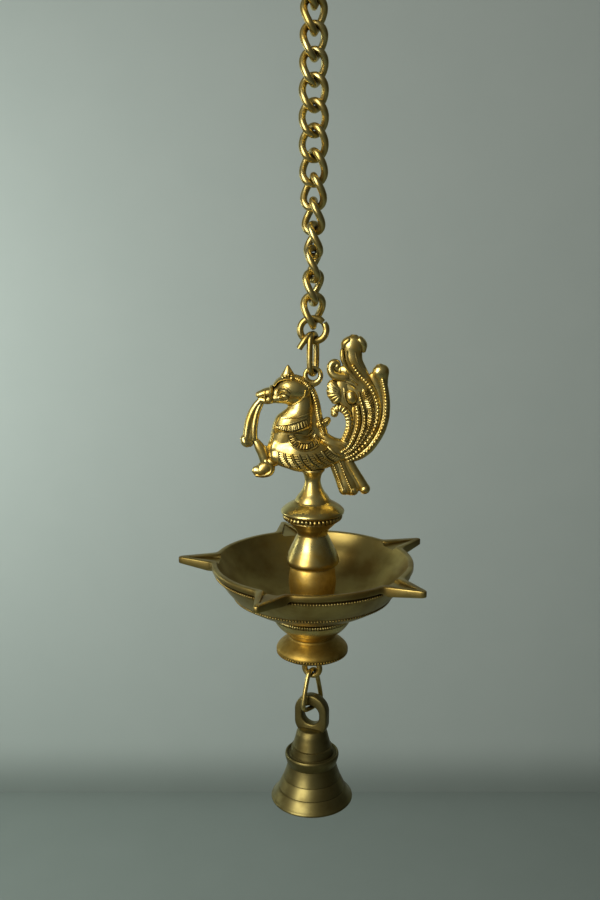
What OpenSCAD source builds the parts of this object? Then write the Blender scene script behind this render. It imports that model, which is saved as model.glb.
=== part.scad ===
// Hanging chain oil lamp in brass. An S-hook, a chain of twisted links, a jump ring and an oval link
// carry a peacock figure. Below it a turned stem, an oil bowl with pointed wick spouts, a cup and a knob
// are drawn together on a hidden tie rod, and a bell with a clapper hangs from an eye under the knob.
// Lengths are in millimetres and angles in degrees. The origin is the spot where the hook rests on its
// rod, +Z is up, the peacock faces -X and its flank faces -Y. Everything hangs below the origin.

/* [Hook] */
// Diameter of the hook's wire
hook_wire = 3.4; // [2.6:0.1:4.4]
// Inside diameter of the open upper loop, which goes over a rod
hook_upper = 18; // [14:0.5:30]
// Inside diameter of the lower loop, which holds the chain
hook_lower = 10; // [8:0.5:16]
// How far the open tip comes down past the middle of the upper loop
hook_tip_angle = 25; // [5:1:40]
// Angle left open where the lower loop closes on itself
hook_lower_gap = 45; // [38:1:55]

/* [Chain] */
// Number of links
link_count = 14; // [4:1:22]
// Diameter of the chain's wire
link_wire = 3; // [2.2:0.1:3.2]
// Inside length of one link
link_inside = 9.9; // [9.5:0.05:14]
// Outside width of one link
link_width = 12.3; // [11.8:0.1:15]
// Twist from one end of a link to the other
link_twist = 90; // [80:1:100]
// Turn of the first link about the chain
chain_start = 45; // [40:1:50]
// Turn that builds up from the first link to the last
chain_turn = 180; // [170:1:190]
// Free play between two wires that hang in each other
play = 0.3; // [0.2:0.05:0.4]

/* [Jump ring and oval link] */
// Diameter of the jump ring's wire
ring_wire = 2.9; // [2.2:0.1:3.2]
// Outside width of the jump ring, which is pulled a little oval
ring_width = 13.9; // [13:0.1:18]
// Outside height of the jump ring
ring_height = 12.4; // [12.3:0.1:13]
// Direction of the ring's cut, measured up from +X
ring_cut_angle = 40; // [20:1:60]
// Width of the ring's cut
ring_cut = 0.5; // [0.2:0.1:1]
// Diameter of the oval link's wire
oval_wire = 2.6; // [2:0.1:2.8]
// Outside length of the oval link
oval_length = 19.4; // [17:0.1:24]
// Outside width of the oval link
oval_width = 10; // [9.4:0.1:13]
// Turn of the oval link's plane from +X towards +Y
oval_turn = 68; // [64:1:90]

/* [Peacock] */
// Height of the suspension eye's middle over the pedestal's seat
eye_height = 54.75; // [54:0.25:56]
// Diameter of the suspension eye's hole
eye_hole = 4.7; // [4.5:0.1:5.2]
// Thickness of the suspension eye's ring
eye_ring = 1.8; // [1.4:0.1:2.4]
// Thickness of the body at its widest
body_thick = 15; // [11:0.5:18]
// Thickness of the neck and head
head_thick = 9.4; // [7:0.2:11]
// Thickness of the base of the neck
neck_thick = 10.4; // [8:0.2:12]
// Thickness of the webs that join the feathers
web_thick = 3.1; // [2:0.1:4]
// Thickness of the ridge down the back of the neck
ridge_thick = 3.4; // [2.6:0.1:4]
// Thickness of the tail feathers
tail_thick = 4.2; // [3:0.1:6]
// Thickness of the scroll in the beak
scroll_thick = 2.6; // [2:0.1:4]
// Radius of the pedestal's seat
pedestal_r = 7.7; // [7:0.1:9]
// Radius of the pedestal at its narrowest
pedestal_neck_r = 3.5; // [3.3:0.1:4.5]
// Height of the pedestal under the body
pedestal_h = 14; // [13:0.5:15]

/* [Stem] */
// Radius of the knob at its widest
knob_r = 13.9; // [12:0.1:16]
// Height from the knob's widest line to the pedestal's seat
knob_top_h = 5.5; // [4:0.1:8]
// Height from the knob's widest line down to the neck
knob_low_h = 9.5; // [8:0.1:12]
// Radius of the neck
neck_r = 6.7; // [5:0.1:8]
// Radius of the bell-shaped foot at its widest
foot_r = 11.8; // [10.8:0.1:14]
// Height from the neck down to the foot's seat
foot_h = 14.3; // [12:0.1:18]
// Radius of a bead in the cast rows of beads
bead_r = 0.9; // [0.6:0.05:1.1]

/* [Bowl] */
// Outside radius of the rim
rim_r = 44.5; // [40:0.5:52]
// Thickness of the rim's wall
rim_wall = 2.4; // [1.8:0.1:3]
// Height of the rim's flat band
rim_band = 2.6; // [2:0.1:4]
// Depth from the rim to the flat underside
bowl_depth = 23; // [21:0.5:27]
// Radius of the flat underside
bowl_base_r = 20; // [18:0.5:24]
// How far the underside swells out from a straight cone
bowl_swell = 3; // [1:0.1:4]
// Thickness of the bowl's wall and floor
bowl_wall = 3.2; // [2.6:0.1:4]
// Radius of the central boss
boss_r = 10.4; // [9:0.1:10.7]
// Depth from the rim to the boss's top
boss_drop = 1.8; // [1:0.1:4]
// Number of wick spouts
spout_count = 5; // [3:1:7]
// Distance of the spout tips from the lamp's axis
spout_reach = 60; // [56:0.5:70]
// Width of a spout where it leaves the rim
spout_width = 15; // [12:0.5:18]
// Height of a spout at its root
spout_root_h = 4.2; // [4:0.1:6]
// Height of a spout at its tip
spout_tip_h = 2; // [1.4:0.1:2.6]
// Thickness of the walls beside the wick channel
spout_wall = 1.8; // [1.2:0.1:2.2]
// Depth of the wick channel
channel_depth = 3; // [2:0.1:3.4]
// Direction of the first spout from +X towards +Y
spout_start = 31.5; // [0:0.5:71.5]

/* [Cup and bottom knob] */
// Radius of the cup's beaded edge
cup_r = 18.2; // [17:0.1:20]
// Height of the cup
cup_h = 11.5; // [10:0.5:15]
// Radius of the cup's lower end
cup_base_r = 10.8; // [10:0.1:13]
// Thickness of the cup's wall
cup_wall = 2; // [1.5:0.1:3]
// Radius of the bottom knob at its widest
drop_r = 16.2; // [15:0.1:18]
// Radius of the bottom knob's neck
drop_neck_r = 10.3; // [9:0.1:11]
// Height of the bottom knob
drop_h = 10.7; // [9.5:0.1:14]

/* [Tie rod and bell eye] */
// Diameter of the tie rod
rod_d = 4; // [3:0.1:4.4]
// Length of the rod inside the pedestal
rod_in_pedestal = 7.5; // [5:0.5:8]
// Length of the rod inside the bottom knob
rod_in_drop = 4.5; // [3:0.1:4.8]
// Clearance around the rod and around the shanks
rod_clearance = 0.1; // [0.05:0.01:0.15]
// Diameter of the bell eye's wire
eye_bolt_wire = 2.6; // [2:0.1:2.8]
// Inside diameter of the bell eye
eye_bolt_hole = 4.6; // [4.4:0.1:6]
// Length of the bell eye's neck between the knob and the ring
eye_bolt_neck = 2.6; // [2:0.1:5]
// Length of the bell eye's shank inside the knob
eye_bolt_shank = 4; // [3:0.1:4.4]
// Turn of the bell eye and the bell about the lamp's axis
bell_turn = -22; // [-30:1:0]

/* [Bell link] */
// Diameter of the bell link's wire
bell_link_wire = 2.1; // [1.6:0.1:2.2]
// Radius of the link's three corners, at the middle of its wire
bell_link_corner = 3; // [2.9:0.1:3.4]
// Distance between the middles of the lower corners
bell_link_foot = 6.6; // [6:0.1:9]
// Height from the lower corners' middles to the upper one's
bell_link_rise = 12.4; // [11.5:0.1:18]
// Turn of the bell link's plane from +X towards +Y
bell_link_turn = 50; // [45:1:60]

/* [Bell] */
// Outside width of the bell's cast loop
loop_width = 15.6; // [15:0.1:18]
// Width of the loop's hole
loop_hole = 8.2; // [7.4:0.1:9]
// Height of the loop's hole
loop_hole_h = 9.2; // [9:0.1:11]
// Thickness of the loop over its hole
loop_wall = 5; // [4:0.1:5.4]
// Depth of the loop along its hole
loop_depth = 4.6; // [4:0.1:5]
// Thickness of metal between the loop's hole and the crown's top
loop_foot = 2.4; // [2:0.1:4]
// Radius of the crown's top
crown_r = 6.6; // [6.4:0.1:8]
// Height of the crown down to the collar
crown_h = 12.5; // [11:0.1:15]
// Radius at the foot of the crown
shoulder_r = 9.7; // [9.2:0.1:11]
// Radius of the collar
collar_r = 12.3; // [11.6:0.1:13]
// Height of the collar
collar_h = 6; // [5:0.1:8]
// Radius of the mouth
mouth_r = 18.9; // [17.5:0.1:21]
// Height of the skirt from the collar to the mouth
skirt_h = 16.2; // [14:0.1:20]
// Thickness of the bell's wall
bell_wall = 1.8; // [1.4:0.1:2.2]
// Thickness of the crown over the clapper
crown_thick = 3; // [2.6:0.1:4]

/* [Clapper] */
// Diameter of the clapper's and the staple's wire
clapper_wire = 1.6; // [1.2:0.1:1.8]
// Radius of the staple's and the clapper's eyes, at the middle of the wire
clapper_eye = 2.5; // [2.3:0.1:2.8]
// Radius of the clapper's ball
clapper_ball = 4.2; // [3.4:0.1:4.6]
// Height from the mouth up to the middle of the ball
clapper_up = 6; // [5.5:0.1:9]

/* [Hidden] */
turned_steps = 96;
wire_steps = 48;
brass = "#b3924a";
deep_brass = "#a87f30";
steel = "#8f8f8c";

// Sides around a swept wire, and rings along a chain link and the jump ring
wire_sides = 8;
wire_rings = 24;
// Steps around one corner of the bell link
corner_steps = 6;
// How square a link's oval is, where 2 is an ellipse
link_squareness = 2.3;
// How late the chain's turn builds up, where 1 is evenly
chain_ease = 1.5;
// Rounding of the edge of the bell's crown
crown_round = 1;
// Sides of a rod in the peacock and steps along it
stroke_sides = 6;
stroke_steps = 6;
// Sides of the thick rods of the body, neck and head
body_sides = 10;

// Heights of the wires' middles, from the hook down
hook_upper_r = (hook_upper + hook_wire) / 2;
hook_lower_r = (hook_lower + hook_wire) / 2;
hook_upper_z = -hook_upper / 2;
hook_lower_z = hook_upper_z - hook_upper_r - hook_lower_r;
link_half = (link_inside + link_wire) / 2;
link_pitch = link_inside - play;
first_link_z = hook_lower_z - hook_lower_r + (hook_wire + link_wire) / 2 + play - link_half;
last_link_z = first_link_z - (link_count - 1) * link_pitch;
ring_r = (ring_height - ring_wire) / 2;
ring_run = (ring_width - ring_height) / 2;
ring_z = last_link_z - link_half + (link_wire + ring_wire) / 2 + play - ring_r;
oval_r = (oval_width - oval_wire) / 2;
oval_half = (oval_length - oval_wire) / 2;
oval_z = ring_z - ring_r + (ring_wire + oval_wire) / 2 + play - oval_half;
eye_r = (eye_hole + eye_ring) / 2;
eye_z = oval_z - oval_half + (oval_wire + eye_ring) / 2 + play - eye_r;

// Heights of the seats where the lamp's pieces meet
pedestal_z = eye_z - eye_height;
figure_scale = (eye_height - pedestal_h) / 100;
knob_z = pedestal_z - knob_top_h;
neck_z = knob_z - knob_low_h;
foot_z = neck_z - foot_h;
rim_z = foot_z + boss_drop;
bowl_base_z = rim_z - bowl_depth;
cup_base_z = bowl_base_z - cup_h;
drop_base_z = cup_base_z - drop_h;
rod_top_z = pedestal_z + rod_in_pedestal;
rod_low_z = cup_base_z - rod_in_drop;
rod_r = rod_d / 2;
rod_bore = rod_r + rod_clearance;

// Heights of the bell's pieces
eye_bolt_r = (eye_bolt_hole + eye_bolt_wire) / 2;
eye_bolt_z = drop_base_z - eye_bolt_neck - eye_bolt_r;
shank_r = eye_bolt_wire / 2;
bell_link_top_z = eye_bolt_z - eye_bolt_r + (eye_bolt_wire + bell_link_wire) / 2 + play;
bell_link_apex_z = bell_link_top_z - bell_link_corner;
bell_link_foot_z = bell_link_apex_z - bell_link_rise;
bell_link_low_z = bell_link_foot_z - bell_link_corner;
hole_top_z = bell_link_low_z + bell_link_wire / 2 + play;
hole_low_z = hole_top_z - loop_hole_h;
crown_z = hole_low_z - loop_foot;
collar_z = crown_z - crown_h;
skirt_z = collar_z - collar_h;
mouth_z = skirt_z - skirt_h;
crown_inside_z = crown_z - crown_thick;
staple_shank = bell_wall;
staple_z = crown_inside_z - clapper_wire - clapper_eye;
clapper_top_z = staple_z - clapper_eye + clapper_wire + play;
clapper_eye_z = clapper_top_z - clapper_eye;
clapper_ball_z = mouth_z + clapper_up;

function two_digits(k) = k < 10 ? str("0", k) : str(k);
function link_name(k) = str("chain_link_", two_digits(k));
LINKS = [for (k = [1 : link_count]) link_name(k)];

// Curves and tubes
function unit(v) = v / norm(v);
function signed_power(v, p) = sign(v) * pow(abs(v), p);

// A point at share s, from 0 to 1, along a smooth curve through hand-set points
function on_curve(points, s) =
    let (last = len(points) - 1,
         at = s * last,
         i = min(floor(at), last - 1),
         t = at - i,
         a = points[max(i - 1, 0)],
         b = points[i],
         c = points[i + 1],
         d = points[min(i + 2, last)])
    (2 * b + t * (c - a) + t * t * (2 * a - 5 * b + 4 * c - d) + t * t * t * (3 * b - a - 3 * c + d)) / 2;
function smooth(points, steps) = [for (i = [0 : steps]) on_curve(points, i / steps)];
function after_first(points) = [for (i = [1 : len(points) - 1]) points[i]];

// Triangles between neighbouring rings of points
function band_faces(rings, sides, joins) = [
    for (i = [0 : joins - 1], s = [0 : sides - 1])
        let (a = i * sides,
             b = (i + 1) % rings * sides,
             t = (s + 1) % sides)
        each [[a + s, a + t, b + t], [a + s, b + t, b + s]]
];

// The same with both ends closed
function rod_faces(rings, sides) = concat(
    band_faces(rings, sides, rings - 1),
    [[for (s = [sides - 1 : -1 : 0]) s], [for (s = [0 : sides - 1]) (rings - 1) * sides + s]]);

// Points on a round arc in the XZ plane
function arc_points(x, z, radius, from, to, steps) =
    [for (i = [0 : steps])
        let (a = from + (to - from) * i / steps)
        [x + radius * cos(a), 0, z + radius * sin(a)]];

// A round arc of wire in the XZ plane, with angles measured from +X towards +Z
module wire_arc(radius, wire, from, to) {
    rotate([90, 0, 0])
        rotate(from)
            rotate_extrude(angle = to - from, $fn = wire_steps)
                translate([radius, 0])
                    circle(d = wire, $fn = wire_steps);
}

// A straight length of wire in the XZ plane
module wire_bar(wire, start, end) {
    along = end - start;
    translate([start[0], 0, start[1]])
        rotate([0, atan2(along[0], along[1]), 0])
            cylinder(d = wire, h = norm(along), $fn = wire_steps);
}

// A wire swept along points, with the direction square to the bend at each of them
module swept_wire(path, square, wire, closed) {
    count = len(path);
    points = [for (i = [0 : count - 1])
        let (next = closed ? (i + 1) % count : min(i + 1, count - 1),
             before = closed ? (i + count - 1) % count : max(i - 1, 0),
             along = unit(path[next] - path[before]),
             side = unit(cross(along, square[i])),
             up = cross(side, along))
        for (a = [0 : 360 / wire_sides : 359])
            path[i] + wire / 2 * (cos(a) * side + sin(a) * up)];
    polyhedron(points, closed ? band_faces(count, wire_sides, count) : rod_faces(count, wire_sides));
}

module turned(profile) {
    rotate_extrude($fn = turned_steps)
        polygon(profile);
}

// A cast row of beads, as one plain round band
module bead_band(radius, z) {
    translate([0, 0, z])
        rotate_extrude($fn = turned_steps)
            translate([radius, 0])
                circle(r = bead_r, $fn = wire_steps);
}

// Hook, bent in the YZ plane so that the first link crosses it
module s_hook() {
    color(brass) rotate(90) {
        translate([0, 0, hook_upper_z]) {
            wire_arc(hook_upper_r, hook_wire, -90, 180 + hook_tip_angle);
            rotate([0, -180 - hook_tip_angle, 0])
                translate([hook_upper_r, 0, 0])
                    sphere(d = hook_wire, $fn = wire_steps);
        }
        translate([0, 0, hook_lower_z])
            wire_arc(hook_lower_r, hook_wire, 90, 450 - hook_lower_gap);
    }
}

// Turn of a link about the chain, and of its wire at a height over the link's middle
function link_turn(k) = chain_start - chain_turn * pow((k - 1) / (link_count - 1), chain_ease);
function wire_turn(z) = -link_twist / 2 * z / link_half;
function link_point(a) =
    let (u = (link_width - link_wire) / 2 * signed_power(cos(a), 2 / link_squareness),
         z = link_half * signed_power(sin(a), 2 / link_squareness),
         turn = wire_turn(z))
    [u * cos(turn), u * sin(turn), z];

// One twisted link, swept around a closed oval
module chain_link(k) {
    path = [for (i = [0 : wire_rings - 1]) link_point(360 * i / wire_rings)];
    square = [for (p = path) [-sin(wire_turn(p[2])), cos(wire_turn(p[2])), 0]];
    color(brass)
        translate([0, 0, first_link_z - (k - 1) * link_pitch])
            rotate(link_turn(k))
                swept_wire(path, square, link_wire, true);
}

// Jump ring, two half rounds with short straights between them and a cut in the right one
module jump_ring() {
    half_cut = asin(ring_cut / 2 / ring_r);
    bend = 360 - 2 * half_cut;
    path = [for (i = [0 : wire_rings])
        let (a = ring_cut_angle + half_cut + bend * i / wire_rings)
        [ring_r * cos(a) + sign(cos(a)) * ring_run, 0, ring_z + ring_r * sin(a)]];
    color(brass) swept_wire(path, [for (p = path) [0, 1, 0]], ring_wire, false);
}

module oval_link() {
    rise = oval_half - oval_r;
    color(brass) translate([0, 0, oval_z]) rotate(oval_turn) {
        translate([0, 0, rise]) wire_arc(oval_r, oval_wire, 0, 180);
        translate([0, 0, -rise]) wire_arc(oval_r, oval_wire, 180, 360);
        for (side = [-1, 1])
            wire_bar(oval_wire, [side * oval_r, -rise], [side * oval_r, rise]);
    }
}

// A point of the peacock with its half width or radius, from hundredths of the height between the
// pedestal's top and the eye's middle to its real place
function on_figure(p) = [p[0] * figure_scale, pedestal_h + p[1] * figure_scale, p[2] * figure_scale];

// A rounded, flattened rod through points of [x, z, half width], with a thickness, for the peacock
module stroke(path, thick, sides = stroke_sides, steps = stroke_steps) {
    line = smooth([for (p = path) on_figure(p)], steps);
    last = len(line) - 1;
    // Each end closes over one smaller ring that rounds it off
    rounding = 45;
    rings = concat(
        [[line[0], line[1] - line[0], -cos(rounding), sin(rounding)]],
        [for (i = [0 : last]) [line[i], line[min(i + 1, last)] - line[max(i - 1, 0)], 0, 1]],
        [[line[last], line[last] - line[last - 1], cos(rounding), sin(rounding)]]);
    widest = max([for (p = line) p[2]]);
    // The rod's flat faces reach its full thickness
    half_deep = thick / 2 / cos(180 / sides);
    points = [for (r = rings)
        let (width = r[0][2],
             along = unit([r[1][0], r[1][1]]),
             middle = [r[0][0], r[0][1]] + r[2] * width * along,
             deep = half_deep * pow(width / widest, 0.6))
        for (a = [0 : 360 / sides : 359])
            [middle[0] - r[3] * width * cos(a) * along[1],
             r[3] * deep * sin(a),
             middle[1] + r[3] * width * cos(a) * along[0]]];
    polyhedron(points, rod_faces(len(rings), sides));
}

// A rounded boss in the peacock's plane
module button(x, z, radius, thick) {
    place = on_figure([x, z, radius]);
    translate([place[0], 0, place[1]])
        scale([1, thick / 2 / place[2], 1])
            rotate([90, 0, 0])
                sphere(place[2], $fn = 16);
}

module peacock_body() {
    stroke([[-35.3, 24.5, 12], [-23.6, 20.1, 18.7], [-7.4, 16.2, 19.4], [8.6, 16, 16.2], [24.5, 17.2, 10.8],
        [38, 18.2, 6.9]], body_thick, body_sides, 9);
    stroke([[-28, 30.7, 18.2], [-21.6, 45.6, 20.6], [-15.2, 56.4, 16.7], [-12.3, 65, 12.8],
        [-12.8, 74.8, 11.3]], neck_thick, body_sides, 7);
    // Web between the neck and its ridge
    stroke([[-4.9, 74.4, 6.1], [-2.5, 59.4, 8.3], [2.5, 44.4, 8.3], [2.7, 31.9, 7.4]], web_thick);
}

module peacock_head() {
    stroke([[-35.6, 82.5, 8.3], [-28.2, 84.9, 12.8], [-19.6, 85.9, 13.7], [-11, 84.2, 11.8]],
        head_thick, body_sides, 5);
    stroke([[-40.5, 80, 8.3], [-45.2, 79.3, 9.6], [-49.1, 78.5, 7.9], [-55.2, 77.5, 5.4], [-59.4, 78, 2.9]],
        head_thick * 0.7);
    stroke([[-24, 93.7, 8.1], [-25.3, 100.1, 5.6], [-26.7, 109.2, 1.2]], ridge_thick * 1.1, stroke_sides, 3);
    stroke([[-24.5, 97.2, 3.4], [-13.5, 98.2, 3.4], [-3.7, 93.3, 3.9], [1, 84.7, 3.9],
        [3.4, 74.8, 3.9], [4.4, 63.8, 4.2], [5.4, 55.2, 4.7], [9.6, 47.1, 4.7], [10.8, 34.4, 4.7]],
        ridge_thick, stroke_sides, 10);
    stroke([[6.4, 51.5, 4.4], [12.3, 52.5, 3.7], [16.9, 55, 2.7]], ridge_thick * 0.9, stroke_sides, 3);
}

module peacock_scroll() {
    stroke([[-53, 76.3, 2.9], [-63.1, 63.8, 2.9], [-67.7, 52, 2.9], [-70.2, 40.5, 2.9],
        [-71.9, 30.9, 3.2]], scroll_thick);
    stroke([[-52, 75.1, 2.5], [-59.9, 58.9, 2.5], [-63.1, 45.6, 2.5], [-64.5, 31.9, 2.5]],
        scroll_thick * 0.9);
    button(-71.2, 29.9, 4.9, scroll_thick * 1.4);
    stroke([[-63.8, 35.3, 2.5], [-57.9, 27, 4.9], [-52, 15.7, 5.9], [-49.8, 4.4, 6.4]], scroll_thick * 1.1);
    button(-54.5, -2.5, 8.8, scroll_thick * 1.3);
    stroke([[-49.1, -2.5, 3.9], [-43.2, 3.4, 3.7], [-35.6, 13.5, 3.7]], scroll_thick * 0.95, stroke_sides, 5);
}

module peacock_tail() {
    // Outer feather with its ball
    stroke([[36.8, 13.7, 3.7], [55.7, 19.4, 4.4], [69.4, 35.1, 4.4], [76.6, 56, 3.9], [77.1, 76.6, 3.7],
        [73.6, 92, 3.4], [70.9, 100.6, 3.4]], tail_thick, stroke_sides, 8);
    button(70.4, 103.6, 8.3, tail_thick * 1.1);
    // Tall feather with its broad cap
    stroke([[33.1, 16.9, 3.4], [53, 28.7, 4.2], [64.3, 45.6, 4.4], [66.7, 63.8, 4.4], [61.1, 81.7, 4.7],
        [52, 95.7, 5.9], [43.2, 108.5, 8.3], [39, 119.8, 9.8]], tail_thick, stroke_sides, 9);
    stroke([[38.3, 121.5, 10.8], [40.2, 127.6, 12.3], [41.5, 130.6, 12.8]], tail_thick * 1.2, body_sides, 3);
    // Three feathers inside the curve
    stroke([[30.7, 18.4, 4.4], [46.6, 35.1, 4.7], [55.2, 53.5, 4.7], [58.7, 69, 4.7], [54.7, 81.7, 3.9]],
        tail_thick);
    stroke([[29.4, 20.9, 4.4], [43.9, 39, 4.7], [50.1, 56, 4.7], [51, 71.4, 3.9]], tail_thick * 1.05);
    stroke([[28.2, 23.1, 4.2], [41.2, 40.5, 4.2], [46.1, 56, 4.2], [47.4, 69, 3.7]], tail_thick);
    // Webs behind the leaves and between the feathers
    stroke([[57.4, 63.8, 7.9], [42.9, 78.5, 15.2], [36.8, 93.3, 14.7], [37.3, 109.2, 9.8]], web_thick * 0.95);
    stroke([[37.3, 20.4, 6.4], [52.5, 35.3, 10.6], [60.4, 54.7, 11.3], [59.9, 75.1, 9.6]], web_thick * 0.75);
    // Leaves and curls on the inner edge
    stroke([[23.6, 74.6, 6.4], [22.1, 82.5, 9.6], [24, 89.8, 7.4]], tail_thick, stroke_sides, 5);
    stroke([[39.8, 70.7, 6.4], [40.2, 79.8, 7.1]], tail_thick * 1.1, stroke_sides, 3);
    stroke([[23.1, 106.5, 6.1], [26, 99.1, 6.6], [34.4, 95.2, 5.4]], tail_thick, stroke_sides, 5);
    stroke([[35.6, 33.1, 4.4], [40.7, 45.6, 4.4], [37.3, 56, 4.7], [29.7, 62.3, 4.7], [24, 61.8, 4.2]],
        tail_thick);
}

// Foot with three toes
module peacock_foot() {
    toes = [[[23.3, 7.4, 4.2], [29.9, -7.4, 4.4], [34.1, -21.1, 4.9]],
        [[29.9, 8.3, 4.2], [38, -7.4, 4.4], [44.2, -21.8, 4.9]],
        [[35.8, 9.3, 4.2], [45.2, -4.9, 4.4], [54.5, -20.6, 4.9]]];
    for (toe = toes)
        stroke(toe, tail_thick, stroke_sides, 4);
}

module pedestal() {
    waist = pedestal_h - 4.5;
    edge = smooth([[pedestal_r, 0], [pedestal_r - 0.7, 1.4], [pedestal_r - 2.6, 4],
        [pedestal_neck_r + 0.2, waist - 2.2], [pedestal_neck_r, waist],
        [pedestal_neck_r + 0.7, pedestal_h - 2], [pedestal_neck_r + 1.7, pedestal_h]], 14);
    difference() {
        turned(concat([[0, 0]], edge, [[0, pedestal_h]]));
        translate([0, 0, -rod_clearance])
            cylinder(r = rod_bore, h = rod_in_pedestal + 2 * rod_clearance, $fn = wire_steps);
    }
}

module peacock() {
    color(brass) translate([0, 0, pedestal_z]) {
        pedestal();
        peacock_body();
        peacock_head();
        peacock_scroll();
        peacock_tail();
        peacock_foot();
        translate([0, 0, eye_height])
            rotate([90, 0, 0])
                rotate_extrude($fn = 28)
                    translate([eye_r, 0])
                        circle(d = eye_ring, $fn = 10);
        stroke([[-1.5, 92, 2.2], [-7.4, 89.1, 2.2]], eye_ring, stroke_sides, 1);
    }
}

// Stem: knob, neck and bell-shaped foot turned from one bar
module stem() {
    knob = smooth([[neck_r, neck_z], [neck_r + 2.4, neck_z + 2.6], [knob_r - 1.5, neck_z + 5],
        [knob_r - 0.9, knob_z - 2.6], [knob_r, knob_z], [knob_r - 1.2, knob_z + knob_top_h * 0.4],
        [knob_r - 3.6, knob_z + knob_top_h * 0.75], [pedestal_r, pedestal_z]], 21);
    foot = smooth([[foot_r - 0.9, foot_z], [foot_r - 0.1, foot_z + 0.8], [foot_r, foot_z + 1.9],
        [foot_r - 1.5, foot_z + foot_h * 0.48], [neck_r + 1.9, foot_z + foot_h * 0.72],
        [neck_r, neck_z]], 15);
    color(brass) {
        turned(concat([[rod_bore, foot_z]], foot, after_first(knob), [[rod_bore, pedestal_z]]));
        bead_band(knob_r - 1.1, knob_z - 2.6);
    }
}

// Bowl casting
function bowl_edge(s, in = 0) =
    let (top = [rim_r - rim_wall, rim_z - rim_band - 3 * bead_r],
         low = [bowl_base_r, bowl_base_z],
         out = unit([top[1] - low[1], low[0] - top[0]]))
    top + s * (low - top) + (bowl_swell * sin(180 * s) - in) * out;

module bowl_body() {
    steps = 16;
    underside = [for (i = [0 : steps]) bowl_edge(i / steps)];
    inside = [for (i = [steps : -1 : 0]) bowl_edge(i / steps, bowl_wall)];
    boss = [[rod_bore, bowl_base_z], [rod_bore, foot_z], [boss_r, foot_z], [boss_r, inside[0][1]]];
    rim = [[rim_r - rim_wall, rim_z], [rim_r, rim_z], [rim_r, rim_z - rim_band]];
    turned(concat(boss, inside, rim, underside));
    bead_band(rim_r - rim_wall + 0.5, rim_z - rim_band - 2 * bead_r);
    bead_band(bowl_edge(0.42)[0] + 0.2, bowl_edge(0.42)[1]);
}

// Half width of a spout at share s from its root to its tip, drawn in so that it comes to a point
function spout_half(s, width) = width / 2 * pow(1 - s, 1.35);

// A spout's outline seen from above, from a root radius out to a tip radius
module spout_plan(root, tip, width, end) {
    side = [for (i = [0 : 8]) [root + (tip - root) * i / 8, spout_half(i / 8, width) + end]];
    polygon(concat(side, [for (i = [8 : -1 : 0]) [side[i][0], -side[i][1]]]));
}

// A spout's outline seen from the side, as a bar that thins towards the tip
module spout_profile(root, tip, root_h, tip_h, over) {
    rotate([90, 0, 0])
        linear_extrude(spout_width * 2, center = true)
            polygon([[root, over], [tip, over], [tip, -tip_h], [root, -root_h]]);
}

spout_root = rim_r - rim_wall - 1;
channel_root = rim_r - rim_wall - 4;
channel_tip = spout_reach - 2.2;

module spout() {
    intersection() {
        linear_extrude(spout_root_h * 4, center = true) spout_plan(spout_root, spout_reach, spout_width, 0.5);
        spout_profile(spout_root, spout_reach + 1, spout_root_h, spout_tip_h, 0);
    }
}

module wick_channel() {
    intersection() {
        linear_extrude(spout_root_h * 4, center = true)
            spout_plan(channel_root, channel_tip, spout_width - 2 * spout_wall, 0.3);
        spout_profile(channel_root, channel_tip + 1, channel_depth, 0.5, 1);
    }
}

module bowl() {
    color(deep_brass) difference() {
        union() {
            bowl_body();
            for (i = [0 : spout_count - 1])
                translate([0, 0, rim_z])
                    rotate(spout_start + 360 * i / spout_count)
                        spout();
        }
        for (i = [0 : spout_count - 1])
            translate([0, 0, rim_z])
                rotate(spout_start + 360 * i / spout_count)
                    wick_channel();
    }
}

// Cup under the bowl, hollow so that only its rim and its base are drawn up by the rod
module under_cup() {
    outside = smooth([[cup_r, bowl_base_z], [cup_r, bowl_base_z - 2.4],
        [cup_r - 1.2, bowl_base_z - cup_h * 0.45], [cup_base_r + 2.6, bowl_base_z - cup_h * 0.8],
        [cup_base_r, cup_base_z]], 12);
    inside = [for (i = [12 : -1 : 0]) outside[i] - [cup_wall, 0]];
    ceiling = cup_base_z + cup_wall;
    color(brass) {
        turned(concat(outside, [[rod_bore, cup_base_z], [rod_bore, ceiling]],
            [for (p = inside) if (p[1] > ceiling) p]));
        bead_band(cup_r, bowl_base_z - 2.2);
    }
}

module bottom_knob() {
    side = smooth([[drop_neck_r + 0.3, cup_base_z], [drop_neck_r, cup_base_z - 0.9],
        [drop_neck_r + 1.4, cup_base_z - 2.2], [drop_r - 1.6, cup_base_z - drop_h * 0.44],
        [drop_r, cup_base_z - drop_h * 0.62],
        [drop_r - 1.4, cup_base_z - drop_h * 0.86], [drop_r - 5, drop_base_z]], 18);
    rod_floor = rod_low_z - rod_clearance;
    shank_top = drop_base_z + eye_bolt_shank + rod_clearance;
    shank_bore = shank_r + rod_clearance;
    color(deep_brass) {
        turned(concat([[rod_bore, cup_base_z]], side, [[shank_bore, drop_base_z], [shank_bore, shank_top],
            [0, shank_top], [0, rod_floor], [rod_bore, rod_floor]]));
        bead_band(drop_r - 0.6, cup_base_z - drop_h * 0.74);
    }
}

module tie_rod() {
    color(steel)
        translate([0, 0, rod_low_z])
            cylinder(r = rod_r, h = rod_top_z - rod_low_z, $fn = wire_steps);
}

module bell_eye() {
    color(brass) rotate(bell_turn) {
        translate([0, 0, eye_bolt_z]) wire_arc(eye_bolt_r, eye_bolt_wire, 0, 360);
        shank_low = eye_bolt_z + eye_bolt_r;
        translate([0, 0, shank_low])
            cylinder(r = shank_r, h = drop_base_z + eye_bolt_shank - shank_low, $fn = wire_steps);
    }
}

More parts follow.
